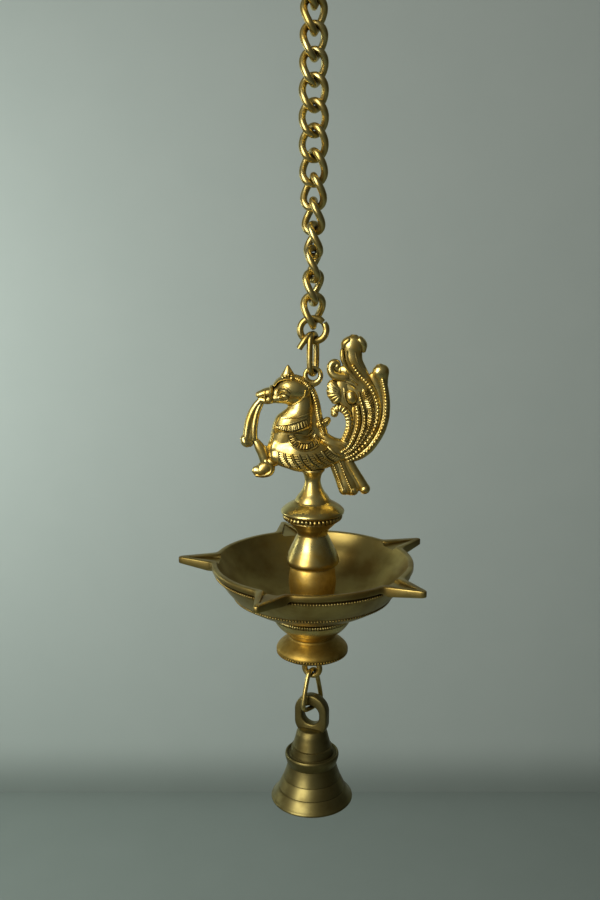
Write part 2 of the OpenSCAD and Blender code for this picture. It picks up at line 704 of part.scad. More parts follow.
// Bell link: a rounded triangle of wire, narrow in the eye and broad in the bell's loop
module bell_link() {
    half = bell_link_foot / 2;
    slope = atan2(half, bell_link_rise);
    path = concat(
        arc_points(0, bell_link_apex_z, bell_link_corner, slope, 180 - slope, corner_steps),
        arc_points(-half, bell_link_foot_z, bell_link_corner, 180 - slope, 270, corner_steps),
        arc_points(half, bell_link_foot_z, bell_link_corner, 270, 360 + slope, corner_steps));
    color(brass)
        rotate(bell_link_turn)
            swept_wire(path, [for (p = path) [0, 1, 0]], bell_link_wire, true);
}

// Upright slot with round ends, seen along the loop's hole
module slot_shape(width, low, top) {
    for (z = [low + width / 2, top - width / 2])
        translate([0, z])
            circle(d = width, $fn = turned_steps);
    translate([-width / 2, low + width / 2])
        square([width, top - low - width]);
}

module bell_loop() {
    // The loop's lower round is as wide as the crown where it goes in
    bulge = sqrt(pow(loop_width / 2, 2) - pow(crown_r - crown_round, 2));
    low = crown_z + bulge - loop_width / 2;
    rotate(bell_turn)
        rotate([90, 0, 0])
            linear_extrude(loop_depth, center = true)
                difference() {
                    slot_shape(loop_width, low, hole_top_z + loop_wall);
                    slot_shape(loop_hole, hole_low_z, hole_top_z);
                }
}

module bell() {
    crown = smooth([[crown_r - crown_round, crown_z], [crown_r, crown_z - crown_round],
        [crown_r + 1.6, crown_z - crown_h * 0.4], [shoulder_r - 0.4, crown_z - crown_h * 0.76],
        [shoulder_r, collar_z]], 12);
    collar = smooth([[shoulder_r + 0.8, collar_z - 0.2], [collar_r - 0.3, collar_z - 1.2],
        [collar_r, collar_z - collar_h / 2], [collar_r - 0.4, collar_z - collar_h + 0.9],
        [collar_r - 0.8, skirt_z]], 8);
    skirt = smooth([[collar_r - 0.8, skirt_z], [collar_r, skirt_z - skirt_h * 0.18],
        [collar_r + 1.4, skirt_z - skirt_h * 0.43], [collar_r + 3.4, skirt_z - skirt_h * 0.68],
        [mouth_r - 1, mouth_z + 1.8], [mouth_r, mouth_z + 0.4], [mouth_r - 0.3, mouth_z]], 18);
    hollow = smooth([[mouth_r - 0.3 - bell_wall, mouth_z],
        [collar_r + 3.4 - bell_wall, mouth_z + skirt_h * 0.3],
        [collar_r - bell_wall, skirt_z - skirt_h * 0.2], [shoulder_r - bell_wall, collar_z],
        [crown_r + 1.2 - bell_wall, crown_z - crown_h * 0.45],
        [crown_r - bell_wall - 1, crown_inside_z]], 15);
    color(brass) difference() {
        union() {
            turned(concat([[0, crown_z]], crown, collar, after_first(skirt), hollow, [[0, crown_inside_z]]));
            difference() {
                bell_loop();
                translate([0, 0, crown_inside_z - crown_h])
                    cylinder(r = loop_width, h = crown_h, $fn = wire_steps);
            }
        }
        translate([0, 0, crown_inside_z - rod_clearance])
            cylinder(d = clapper_wire + 2 * rod_clearance, h = staple_shank + 2 * rod_clearance,
                $fn = wire_steps);
    }
}

// Staple set into the crown's underside
module clapper_staple() {
    color(brass) rotate(bell_turn) {
        translate([0, 0, staple_z]) wire_arc(clapper_eye, clapper_wire, 0, 360);
        shank_low = staple_z + clapper_eye;
        translate([0, 0, shank_low])
            cylinder(d = clapper_wire, h = crown_inside_z + staple_shank - shank_low, $fn = wire_steps);
    }
}

// Clapper: an eye that hangs in the staple, a rod and a ball
module clapper() {
    color(brass) rotate(bell_turn + 90) {
        translate([0, 0, clapper_eye_z]) wire_arc(clapper_eye, clapper_wire, 0, 360);
        translate([0, 0, clapper_ball_z])
            cylinder(d = clapper_wire, h = clapper_eye_z - clapper_eye - clapper_ball_z, $fn = wire_steps);
        translate([0, 0, clapper_ball_z])
            sphere(clapper_ball, $fn = wire_steps);
    }
}

s_hook();
for (k = [1 : link_count])
    chain_link(k);
jump_ring();
oval_link();
peacock();
stem();
bowl();
under_cup();
bottom_knob();
tie_rod();
bell_eye();
bell_link();
bell();
clapper_staple();
clapper();
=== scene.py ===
# %% [markdown]
# This lesson dresses a hanging oil lamp in brass: a chain, a cast peacock, a turned stem, an oil bowl
# with five wick spouts, a cup, a knob and a bell. The CAD solids hold the sizes and the joints. Here
# each solid is replaced by a finer mesh in the same place, and each brass gets the colour of its own
# casting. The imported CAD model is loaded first, and its box is kept, because no mesh may reach outside
# it.

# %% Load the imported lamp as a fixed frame
import math

import bpy
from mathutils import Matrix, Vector


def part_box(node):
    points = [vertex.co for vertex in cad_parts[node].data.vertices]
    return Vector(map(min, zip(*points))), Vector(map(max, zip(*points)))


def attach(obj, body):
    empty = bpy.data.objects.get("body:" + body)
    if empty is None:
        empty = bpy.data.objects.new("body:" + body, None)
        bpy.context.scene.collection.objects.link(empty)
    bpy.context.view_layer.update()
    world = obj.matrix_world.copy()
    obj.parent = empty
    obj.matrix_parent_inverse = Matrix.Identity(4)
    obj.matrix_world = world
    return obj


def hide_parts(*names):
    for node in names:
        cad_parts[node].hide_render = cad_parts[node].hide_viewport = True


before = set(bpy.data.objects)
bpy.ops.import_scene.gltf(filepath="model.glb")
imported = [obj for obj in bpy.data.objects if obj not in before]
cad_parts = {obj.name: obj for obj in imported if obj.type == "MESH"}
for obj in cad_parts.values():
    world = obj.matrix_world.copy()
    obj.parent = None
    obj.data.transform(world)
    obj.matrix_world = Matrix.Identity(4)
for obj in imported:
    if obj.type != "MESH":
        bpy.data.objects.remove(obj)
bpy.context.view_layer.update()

MM = 0.001

# %% [markdown]
# The camera comes first, because every later choice is looked at through it. The photograph was taken
# from close by, a little above the bowl, so the camera stands 420 mm away and looks down by 13 degrees.
# The heights are read from the frame, so that the view follows the lamp.

# %% Camera
IMAGE_HEIGHT = 900
SENSOR = 36
CAMERA_DISTANCE = 420
CAMERA_OVER_RIM = 146
CAMERA_SIDE = -5.5
CAMERA_PITCH = 12.9
FOCAL_PIXELS = 1000


def reach(node):
    """The lowest and the highest z of a CAD node, in mm."""
    low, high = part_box(node)
    return low.z / MM, high.z / MM


rim_z = reach("bowl")[1]
camera_data = bpy.data.cameras.new("camera")
camera_data.sensor_width = SENSOR
camera_data.lens = SENSOR * FOCAL_PIXELS / IMAGE_HEIGHT
camera_data.clip_start = 0.01
camera = bpy.data.objects.new("camera", camera_data)
camera.location = Vector((CAMERA_SIDE, -CAMERA_DISTANCE, rim_z + CAMERA_OVER_RIM)) * MM
camera.rotation_euler = (math.radians(90 - CAMERA_PITCH), 0, 0)
bpy.context.scene.collection.objects.link(camera)
bpy.context.scene.camera = camera
bpy.context.scene.view_settings.view_transform = "Standard"
print("rim at", round(rim_z, 1), "mm, lens", round(camera_data.lens, 1), "mm")

# %% [markdown]
# A material is a list of nodes that feed one another. One helper adds a node with its settings and
# links, so that each recipe reads as what feeds what. Colours are written as they look on a screen, and
# one function turns them into the linear light that a shader counts in. The size of a pattern is
# written in millimetres.


# %% Colours and nodes
def linear(hex_colour):
    """An sRGB hex colour as the linear colour that a shader socket takes."""
    channels = [int(hex_colour[i:i + 2], 16) / 255 for i in (1, 3, 5)]
    return [c / 12.92 if c <= 0.04045 else ((c + 0.055) / 1.055) ** 2.4 for c in channels] + [1]


def add_node(tree, kind, settings=None, **inputs):
    """Add a node; an input, by its name or as _number, is a value or another node's output."""
    node = tree.nodes.new("ShaderNode" + kind)
    for name, value in (settings or {}).items():
        setattr(node, name, value)
    for name, value in inputs.items():
        socket = node.inputs[int(name[1:]) if name[1:].isdigit() else name.replace("_", " ")]
        if isinstance(value, bpy.types.NodeSocket):
            tree.links.new(value, socket)
        else:
            socket.default_value = value
    return node


def new_material(name):
    """A material with an empty node tree, and that tree."""
    material = bpy.data.materials.new(name)
    material.use_nodes = True
    material.node_tree.nodes.clear()
    return material, material.node_tree


def per_mm(size):
    """The scale of a pattern whose features are this many millimetres across."""
    return 1 / (size * MM)


print("white is", linear("#ffffff")[:3])

# %% [markdown]
# All the metal to be seen is brass, but not one brass. The figure is cast in sand and dark in its
# hollows, the bowl is older and browner, the knob and the boss are more golden, and the bell has dulled
# to olive. One recipe serves them all: a clean colour on the high places, a warmer one in patches, a
# dark colour in the hollows that is partly tarnish and partly painted shade, and a fine grain. The
# ambient occlusion node finds the hollows, because it darkens a point when metal stands close around
# it, as dirt and old polish would and as shade does there. Turned pieces also get faint rings: their
# noise is stretched around the lathe's axis.

# %% Brass recipe
# How much rougher than the polish the patches and the hollows are
PATCH_DULL = 0.14
HOLLOW_DULL = 0.3
# Rings of the lathe: noise this much longer around the axis than along it, and its depth in mm
RING_STRETCH = 50
RING_DEPTH = 0.05


def brass(name, clean, warm, tarnish_and_shade, patch, polish, hollow, grain, pits, rings=0.0):
    """Brass with patches, and hollows darkened by tarnish and painted shade; patch, hollow, grain, pits and
    rings are in mm.
    """
    material, tree = new_material(name)
    place = add_node(tree, "TexCoord").outputs["Object"]
    patches = add_node(tree, "TexNoise", Vector=place, Scale=per_mm(patch), Detail=4.0).outputs["Fac"]
    patch_amount = add_node(tree, "MapRange", Value=patches, From_Min=0.4, From_Max=0.66)
    worn = add_node(tree, "Mix", {"data_type": "RGBA"}, Factor=patch_amount.outputs[0],
                    _6=linear(clean), _7=linear(warm))
    # Painted shade and tarnish: ambient occlusion darkens the colour towards the dark one in the hollows
    closed_in = add_node(tree, "AmbientOcclusion", {"samples": 6}, Distance=hollow * MM)
    open_amount = add_node(tree, "MapRange", Value=closed_in.outputs["AO"], From_Min=0.3, From_Max=0.86)
    colour = add_node(tree, "Mix", {"data_type": "RGBA"}, Factor=open_amount.outputs[0],
                      _6=linear(tarnish_and_shade), _7=worn.outputs[2])
    fine = add_node(tree, "TexNoise", Vector=place, Scale=per_mm(grain), Detail=3.0).outputs["Fac"]
    roughness = add_node(tree, "MapRange", Value=patches, From_Min=0.3, From_Max=0.7,
                         To_Min=polish, To_Max=polish + PATCH_DULL)
    dull = add_node(tree, "Mix", {"data_type": "FLOAT"}, Factor=open_amount.outputs[0],
                    _2=polish + HOLLOW_DULL, _3=roughness.outputs[0])
    bump = add_node(tree, "Bump", Height=fine, Strength=0.35, Distance=pits * MM)
    if rings:
        squeezed = add_node(tree, "Mapping", Vector=place, Scale=(1 / RING_STRETCH, 1 / RING_STRETCH, 1))
        lines = add_node(tree, "TexNoise", Vector=squeezed.outputs[0], Scale=per_mm(rings), Detail=2.0)
        bump = add_node(tree, "Bump", Height=lines.outputs["Fac"], Strength=0.3,
                        Distance=RING_DEPTH * MM, Normal=bump.outputs[0])
    shader = add_node(tree, "BsdfPrincipled", Base_Color=colour.outputs[2], Metallic=1.0,
                      Roughness=dull.outputs[0], Normal=bump.outputs[0])
    add_node(tree, "OutputMaterial", Surface=shader.outputs[0])
    return material


print("on every brass, patches are", PATCH_DULL, "rougher than the polish, and hollows", HOLLOW_DULL)

# %% [markdown]
# Each brass takes its three colours from one piece of the real lamp; the third, in the hollows, is
# tarnish and painted shade together. The pits are deepest where the sand of the mould was left as it
# was, and the polish is best on what came off the lathe or through the wire maker's die.

# %% Brasses and steel
MATERIALS = {
    # Drawn brass wire, smooth from the die, bright along the strands
    "chain_brass": brass("drawn brass wire", "#d8c580", "#c3a85a", "#2e2206",
                         patch=6, polish=0.24, hollow=1.3, grain=0.8, pits=0.008),
    # Heavier bent rod, a little duller
    "wire_brass": brass("bent brass rod", "#d2bd76", "#b99b4a", "#2a1f06",
                        patch=6, polish=0.26, hollow=1.2, grain=0.8, pits=0.01),
    # Sand-cast figure, rubbed bright on its high places, with old polish and painted shade in its hollows
    "figure_brass": brass("sand-cast brass", "#e6d286", "#d0af57", "#1c1202",
                          patch=4, polish=0.25, hollow=1.6, grain=0.5, pits=0.03),
    # Pieces finished on the lathe, with faint tool rings
    "turned_brass": brass("turned brass", "#d6c47e", "#ba9b4c", "#281b05",
                          patch=8, polish=0.23, hollow=1.6, grain=0.6, pits=0.015, rings=0.7),
    # Oil bowl, browner where oil has burnt in
    "bowl_brass": brass("oiled cast brass", "#b39e5b", "#8c743a", "#261b08",
                        patch=14, polish=0.31, hollow=1.2, grain=0.8, pits=0.02, rings=1.2),
    # Rough golden castings, pitted from the sand
    "golden_brass": brass("golden cast brass", "#b3964a", "#957832", "#221704",
                          patch=4, polish=0.44, hollow=1.2, grain=0.7, pits=0.12),
    # Bell metal turned bright and left to dull
    "bell_brass": brass("turned bell brass", "#82784a", "#695e35", "#181203",
                        patch=9, polish=0.36, hollow=1.8, grain=0.7, pits=0.015, rings=0.8),
}
# The boss is the same rough casting, painted brighter than the knob below: painted light where the bowl's
# rim and the stem shade it
boss_painted_light_brass = brass("golden brass with painted light", "#f0cd6e", "#d4ac4c", "#2c1e07",
                   patch=4, polish=0.4, hollow=1.2, grain=0.7, pits=0.12)
# Plain drawn steel, grey, with fine lines along the rod
STEEL_LINE = 0.4
STEEL_STRETCH = 50
steel, steel_tree = new_material("plain steel rod")
steel_place = add_node(steel_tree, "TexCoord").outputs["Object"]
steel_drawn = add_node(steel_tree, "Mapping", Vector=steel_place, Scale=(1, 1, 1 / STEEL_STRETCH))
steel_lines = add_node(steel_tree, "TexNoise", Vector=steel_drawn.outputs[0], Scale=per_mm(STEEL_LINE))
steel_rough = add_node(steel_tree, "MapRange", Value=steel_lines.outputs["Fac"], To_Min=0.25, To_Max=0.45)
steel_shader = add_node(steel_tree, "BsdfPrincipled", Base_Color=linear("#9a9a96"), Metallic=1.0,
                        Roughness=steel_rough.outputs[0])
add_node(steel_tree, "OutputMaterial", Surface=steel_shader.outputs[0])
MATERIALS["rod_steel"] = steel
print("materials:", ", ".join(material.name for material in [*MATERIALS.values(), boss_painted_light_brass]))

# %% [markdown]
# Every piece ends in the same few steps: its place goes into its mesh, it gets a name, a finish, a body
# to ride on and the CAD nodes that it stands for. Smooth shading by angle keeps the turned edges crisp.
# These steps are written once, because thirty pieces need them.


# %% Finish a piece
def alone(piece):
    """Make one piece the only selected and the active one."""
    bpy.ops.object.select_all(action="DESELECT")
    piece.select_set(True)
    bpy.context.view_layer.objects.active = piece


def join(pieces):
    """Join pieces into the first of them."""
    alone(pieces[0])
    for piece in pieces:
        piece.select_set(True)
    bpy.ops.object.join()
    return bpy.context.object


def finish(piece, name, body, slot, nodes=(), crease=40, material=None):
    """Settle a piece's place, shading, finish, body and the nodes it replaces."""
    alone(piece)
    bpy.ops.object.transform_apply(location=True, rotation=True, scale=True)
    bpy.ops.object.shade_smooth_by_angle(angle=math.radians(crease))
    piece.name = name
    piece.data.name = name
    piece.data.materials.clear()
    piece.data.materials.append(material or MATERIALS[slot])
    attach(piece, body)
    if nodes:
        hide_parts(*nodes)
    print(name, len(piece.data.polygons), "faces")


print("pieces can be finished in", len(MATERIALS), "slots")

# %% [markdown]
# Wire makes a third of this lamp: the hook, the chain, the rings and the eyes. It could be an extruded
# circle, but a bent wire is easier as a Bezier curve with a round bevel, and each knot can have its own
# radius, which also draws the feathers of the figure. The curve is made a mesh as soon as it is bent.


# %% Bend a rod through knots
def rod(knots, closed=False, steps=6, sides=6):
    """A round rod through knots of (x, y, z, radius) in mm."""
    bpy.ops.object.select_all(action="DESELECT")
    bpy.ops.curve.primitive_bezier_curve_add(location=(0, 0, 0))
    curve = bpy.context.object
    spline = curve.data.splines[0]
    spline.bezier_points.add(len(knots) - 2)
    for knot, (x, y, z, radius) in zip(spline.bezier_points, knots):
        knot.handle_left_type = knot.handle_right_type = "AUTO"
        knot.co = Vector((x, y, z)) * MM
        knot.radius = radius
    spline.use_cyclic_u = closed
    spline.radius_interpolation = "CARDINAL"
    curve.data.resolution_u = steps
    curve.data.bevel_depth = MM
    curve.data.bevel_resolution = sides
    curve.data.use_fill_caps = not closed
    bpy.ops.object.convert(target="MESH")
    return bpy.context.object


def arc(radius, start, end, count):
    """Points on an arc about the origin, in a plane, with angles in degrees."""
    turns = [math.radians(start + (end - start) * i / (count - 1)) for i in range(count)]
    return [(radius * math.cos(a), radius * math.sin(a)) for a in turns]


print("a quarter of a ring of 10 mm:", [[round(c, 1) for c in point] for point in arc(10, 0, 90, 3)])

# %% [markdown]
# The S-hook is bent in the YZ plane, with a wide open loop for the rod that it hangs on and a closed
# loop for the chain. One run of knots follows both loops, and the tips are a little thinner, as filed
# ends are.

# %% S-hook
HOOK_WIRE = 3.4
HOOK_UPPER_R = 10.7
HOOK_LOWER_R = 6.7
# Between its knots the bent rod rises a little above their arc
BEND_RISE = 0.03
# Where each loop starts and ends, in degrees, and how thin its tip is
UPPER_START, UPPER_END, UPPER_TIP = 205, -78, 0.8
LOWER_START, LOWER_END, LOWER_TIP = 102, 405, 0.72
HOOK_KNOTS = 15
hook_top = reach("s_hook")[1] - BEND_RISE
upper_z = hook_top - HOOK_WIRE / 2 - HOOK_UPPER_R
lower_z = upper_z - HOOK_UPPER_R - HOOK_LOWER_R
upper_arc = arc(HOOK_UPPER_R, UPPER_START, UPPER_END, HOOK_KNOTS)
lower_arc = arc(HOOK_LOWER_R, LOWER_START, LOWER_END, HOOK_KNOTS)
hook_knots = [(0, y, upper_z + z, HOOK_WIRE / 2) for y, z in upper_arc]
hook_knots += [(0, y, lower_z + z, HOOK_WIRE / 2) for y, z in lower_arc]
for end, thin in ((0, UPPER_TIP), (-1, LOWER_TIP)):
    hook_knots[end] = hook_knots[end][:3] + (HOOK_WIRE / 2 * thin,)
finish(rod(hook_knots), "bent_hook", "s_hook", "wire_brass", ["s_hook"])

# %% [markdown]
# A chain link is an oval that was twisted by a quarter turn after it was closed, so that the links lie
# in one another like a rope. The oval is a little squarer than an ellipse. Each knot is turned about
# the link's length by its height, which keeps the wire round, where a twist modifier would squash it.
# One link is bent and copied, and each copy is turned and lowered to the place that its CAD node holds.
# The chain as a whole turns too, slowly at its top and faster towards its foot, as the photograph
# shows.

# %% Chain links
LINK_WIRE = 3.0
LINK_WIDTH = 12.3
LINK_TWIST = 90
LINK_SQUARENESS = 2.3
LINK_KNOTS = 20
CHAIN_START = 45
CHAIN_TURN = 180
CHAIN_EASE = 1.5
link_names = sorted(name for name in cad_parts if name.startswith("chain_link_"))
link_low, link_high = reach(link_names[0])
link_half = (link_high - link_low) / 2 - LINK_WIRE / 2


def rounded(value):
    """A cosine or sine pulled out towards a squarer oval."""
    return math.copysign(abs(value) ** (2 / LINK_SQUARENESS), value)


link_knots = []
for step in range(LINK_KNOTS):
    angle = 2 * math.pi * step / LINK_KNOTS
    across = (LINK_WIDTH - LINK_WIRE) / 2 * rounded(math.cos(angle))
    height = link_half * rounded(math.sin(angle))
    turn = math.radians(-LINK_TWIST / 2 * height / link_half)
    link_knots.append((across * math.cos(turn), across * math.sin(turn), height, LINK_WIRE / 2))
first_link = rod(link_knots, closed=True, steps=5, sides=7)
for index, name in enumerate(link_names):
    low, high = reach(name)
    link = first_link.copy()
    link.data = first_link.data.copy()
    bpy.context.scene.collection.objects.link(link)
    link.location = (0, 0, (low + high) / 2 * MM)
    share = (index / (len(link_names) - 1)) ** CHAIN_EASE
    link.rotation_euler = (0, 0, math.radians(CHAIN_START - CHAIN_TURN * share))
    finish(link, "twisted_" + name, name, "chain_brass", [name])
bpy.data.objects.remove(first_link)

# %% [markdown]
# The jump ring is a cut ring, pulled slightly wide, whose two ends don't quite meet: one stands a
# little in front of the other, and both are pinched by the cutter. The knots start at one end and go
# round to the other, and the two ends part only close to the cut.

# %% Jump ring
RING_WIRE = 2.9
RING_CUT = 40
RING_CUT_HALF = 2.5
RING_OFFSET = 0.35
RING_PINCH = 0.86
RING_KNOTS = 22
ring_low, ring_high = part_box("jump_ring")
ring_z = (ring_low.z + ring_high.z) / 2 / MM
ring_r = (ring_high.z - ring_low.z) / 2 / MM - RING_WIRE / 2
ring_run = (ring_high.x - ring_low.x) / 2 / MM - RING_WIRE / 2 - ring_r
ring_arc = arc(ring_r, RING_CUT + RING_CUT_HALF, RING_CUT + 360 - RING_CUT_HALF, RING_KNOTS)
ring_knots = []
for step, (x, z) in enumerate(ring_arc):
    away = 2 * step / (RING_KNOTS - 1) - 1
    wide = math.copysign(min(abs(x), ring_run), x)
    pinch = RING_PINCH if abs(away) == 1 else 1
    ring_knots.append((x + wide, away ** 3 * RING_OFFSET, ring_z + z, RING_WIRE / 2 * pinch))
finish(rod(ring_knots), "cut_jump_ring", "jump_ring", "wire_brass", ["jump_ring"])

# %% [markdown]
# The oval link under it is a long loop of rod that goes through the eye on the peacock's back. It is
# turned almost edge-on to the camera, so that its near strand hides part of its far strand. The rod's
# cut end is bent over the ring and stands out to the left, so it winds around the ring's wire at a
# steady distance.

# %% Oval link
OVAL_WIRE = 2.6
OVAL_WIDTH = 10.0
OVAL_TURN = 68
WRAP_GAP = 0.75
# The bent end: how far along the ring's wire and around it, then the tip's place under the ring's foot
WRAP = ((-1.6, 128), (-3.2, 162), (-4.7, 195))
TIP_X, TIP_FORWARD, TIP_DROP = -5.8, 0.3, 2.7
oval_low, oval_high = reach("oval_link")
oval_z = (oval_low + oval_high) / 2
oval_r = (OVAL_WIDTH - OVAL_WIRE) / 2
oval_rise = (oval_high - oval_low) / 2 - OVAL_WIRE / 2 - oval_r
oval_top = [(x, z + oval_rise) for x, z in arc(oval_r, 0, 180, 9)]
oval_bottom = [(x, z - oval_rise) for x, z in arc(oval_r, 180, 360, 9)]
oval_knots = [(x, 0, oval_z + z, OVAL_WIRE / 2) for x, z in oval_top + oval_bottom]
oval = rod(oval_knots, closed=True)
oval.rotation_euler = (0, 0, math.radians(OVAL_TURN))
ring_foot_z = ring_low.z / MM + RING_WIRE / 2
wrap_r = (RING_WIRE + OVAL_WIRE) / 2 + WRAP_GAP
wire_end = [(0, 0, oval_high - OVAL_WIRE / 2, OVAL_WIRE / 2)]
for x, angle in WRAP:
    y = wrap_r * math.cos(math.radians(angle))
    z = ring_foot_z + wrap_r * math.sin(math.radians(angle))
    wire_end.append((x, y, z, OVAL_WIRE / 2))
wire_end.append((TIP_X, y + TIP_FORWARD, ring_foot_z - TIP_DROP, OVAL_WIRE / 2))
finish(join([oval, rod(wire_end)]), "oval_hanger", "oval_link", "wire_brass", ["oval_link"])

# %% [markdown]
# The stem, the cup, the knobs and the bell were finished on a lathe. Their outlines are drawn as a
# curve beside the axis, made a mesh and spun once around it. A knot marked as sharp keeps a crisp
# turned edge, and the others run smoothly. After the spin the seam is merged and the faces are turned
# outwards. A row of beads is one small sphere, spun around the same axis as so many copies.

# %% Turn an outline on the lathe
SHARP = True
# Points from one knot of an outline to the next
OUTLINE_STEPS = 5


def lathe(outline, steps=96):
    """Spin an outline of (radius, z[, SHARP]) in mm about the z axis."""
    bpy.ops.object.select_all(action="DESELECT")
    bpy.ops.curve.primitive_bezier_curve_add(location=(0, 0, 0))
    curve = bpy.context.object
    spline = curve.data.splines[0]
    spline.bezier_points.add(len(outline) - 2)
    for knot, (radius, z, *sharp) in zip(spline.bezier_points, outline):
        knot.handle_left_type = knot.handle_right_type = "VECTOR" if sharp else "AUTO"
        knot.co = (radius * MM, 0, z * MM)
    curve.data.resolution_u = OUTLINE_STEPS
    bpy.ops.object.convert(target="MESH")
    bpy.ops.object.mode_set(mode="EDIT")
    bpy.ops.mesh.select_all(action="SELECT")
    bpy.ops.mesh.spin(steps=steps, angle=2 * math.pi, center=(0, 0, 0), axis=(0, 0, 1))
    bpy.ops.mesh.select_all(action="SELECT")
    bpy.ops.mesh.remove_doubles(threshold=0.002 * MM)
    bpy.ops.mesh.normals_make_consistent(inside=False)
    bpy.ops.object.mode_set(mode="OBJECT")
    return bpy.context.object


def bead_row(radius, z, count, size):
    """A ring of beads; size is the half width along, out and up, in mm."""
    bpy.ops.object.select_all(action="DESELECT")
    bpy.ops.mesh.primitive_uv_sphere_add(segments=8, ring_count=6, radius=MM, location=(0, 0, 0))
    bead = bpy.context.object
    bead.scale = (size[1], size[0], size[2])
    bead.location = (radius * MM, 0, z * MM)
    bpy.ops.object.transform_apply(location=True, rotation=True, scale=True)
    bpy.ops.object.mode_set(mode="EDIT")
    bpy.ops.mesh.select_all(action="SELECT")
    bpy.ops.mesh.spin(steps=count - 1, angle=2 * math.pi * (count - 1) / count, dupli=True,
                      center=(0, 0, 0), axis=(0, 0, 1))
    bpy.ops.object.mode_set(mode="OBJECT")
    return bpy.context.object


print("the lathe turns about the z axis, and the rim of the bowl is at", round(rim_z, 1), "mm")

# %% [markdown]
# The stem has a knob with a row of cast beads under its widest line, a narrow neck and a foot shaped
# like a bell, which stands on the boss in the middle of the bowl. Its outline is turned in one go, and
# the beads are added as a row, because a lathe can't give them. Heights are measured from the stem's
# own top.

# %% Stem
# Radius of the hole for the hidden tie rod
BORE_R = 2.1
stem_low, stem_top = reach("stem")


def lifted(outline, z):
    """An outline raised to a height, with its sharp marks kept."""
    return [(radius, z + rise, *sharp) for radius, rise, *sharp in outline]


stem_outline = [(BORE_R, 0, SHARP), (7.9, 0, SHARP), (8.3, -0.5, SHARP), (11.4, -2.3), (13.1, -3.6),
                (13.85, -4.6), (13.7, -5.4, SHARP), (12.7, -5.7, SHARP), (12.0, -7.0), (11.6, -8.3, SHARP),
                (11.7, -8.7), (11.0, -9.2, SHARP), (9.0, -11.2), (7.2, -13.2), (6.7, -14.8),
                (6.7, -15.6, SHARP), (7.1, -16.2), (8.6, -19.4), (10.1, -22.4), (11.3, -25.4),
                (11.75, -27.4), (11.5, -28.6), (10.6, -29.3, SHARP), (BORE_R, -29.3, SHARP),
                (BORE_R, 0, SHARP)]
stem = lathe(lifted(stem_outline, stem_top))
stem_beads = bead_row(radius=12.25, z=stem_top - 7.0, count=42, size=(0.88, 0.85, 1.3))
finish(join([stem, stem_beads]), "turned_stem", "lamp", "turned_brass", ["stem"])

# %% [markdown]
# The bowl isn't round: its rim runs out into five pinched spouts, each with a channel for a wick. Seen
# from above, a spout is a long triangle whose flanks run into the round rim in small fillets. Here two
# functions say how far the rim's outer edge and its inner edge reach in any direction around the axis.

# %% Outline of the spouts
SPOUT_COUNT = 5
SPOUT_START = 31.5
SPOUT_WIDTH = 15.0
SPOUT_WALL = 2.1
SPOUT_REACH = 60.0
SPOUT_BLUNT = 0.9
CHANNEL_END = 4.5
CHANNEL_BLUNT = 0.3
RIM_R = 44.5
RIM_WALL = 2.4
INNER_R = RIM_R - RIM_WALL
# Where the flanks of a spout and of its channel would start, inside the rim
SPOUT_ROOT_R = INNER_R - 1
CHANNEL_ROOT_R = INNER_R - 4
FILLET = 2.0
HALVINGS = 30


def soft(step):
    """A step that sets in gently, so that the spout leaves the rim in a small fillet."""
    return (step + math.sqrt(step * step + FILLET * FILLET)) / 2


def spout_radius(turn, rim, root, tip, width, blunt):
    """How far the rim reaches at a turn in degrees from a spout's middle."""
    low, high = root, tip
    for _ in range(HALVINGS):
        middle = (low + high) / 2
        half = width / 2 * (tip - middle) / (tip - root) + blunt
        if middle * math.sin(math.radians(abs(turn))) < half:
            low = middle
        else:
            high = middle
    return min(rim + soft(low - rim) - soft(root - rim), tip)


def from_spout(turn):
    """Turn in degrees from the nearest spout's middle."""
    pitch = 360 / SPOUT_COUNT
    return (turn - SPOUT_START + pitch / 2) % pitch - pitch / 2


def outer_rim(turn):
    """Radius of the rim's outer edge."""
    return spout_radius(from_spout(turn), RIM_R, SPOUT_ROOT_R, SPOUT_REACH, SPOUT_WIDTH, SPOUT_BLUNT)


def inner_rim(turn):
    """Radius of the rim's inner edge, which runs out along the channels."""
    return spout_radius(from_spout(turn), INNER_R, CHANNEL_ROOT_R, SPOUT_REACH - CHANNEL_END,
                        SPOUT_WIDTH - 2 * SPOUT_WALL, CHANNEL_BLUNT)


between_spouts = SPOUT_START + 180 / SPOUT_COUNT
print("spout tip at", round(outer_rim(SPOUT_START), 1), "mm, rim at", round(outer_rim(between_spouts), 1))

# %% [markdown]
# A lathe can't give such a bowl, so a flat grid will be rolled up instead. Each column of the grid is
# one direction around the axis, and each row is one ring, whose radius and height may change with the
# direction. The rings go from the boss over the floor, up the wall, over the rim and back down outside,
# and they lie close together where an edge is rounded.

# %% Rings of the bowl
BOWL_DEPTH = 23.0
BOWL_BASE_R = 20.0
BOWL_WALL = 3.2
BOWL_SWELL = 3.0
RIM_BAND = 2.6
# The groove for the upper line of beads is three of these high
BEAD = 0.9
CHANNEL_DEPTH = 1.7
CHANNEL_CORNER = 0.84
SPOUT_ROOT_HEIGHT = 4.4
SPOUT_TIP_HEIGHT = 2.8
# Where the boss stands, and where the flat floor ends
BOSS_FOOT_R = 9.5
FLOOR_R = 14
# The edges' rounding, and how much of it its middle ring is cut back
EDGE = 0.5
EDGE_CUT = 0.3 * EDGE
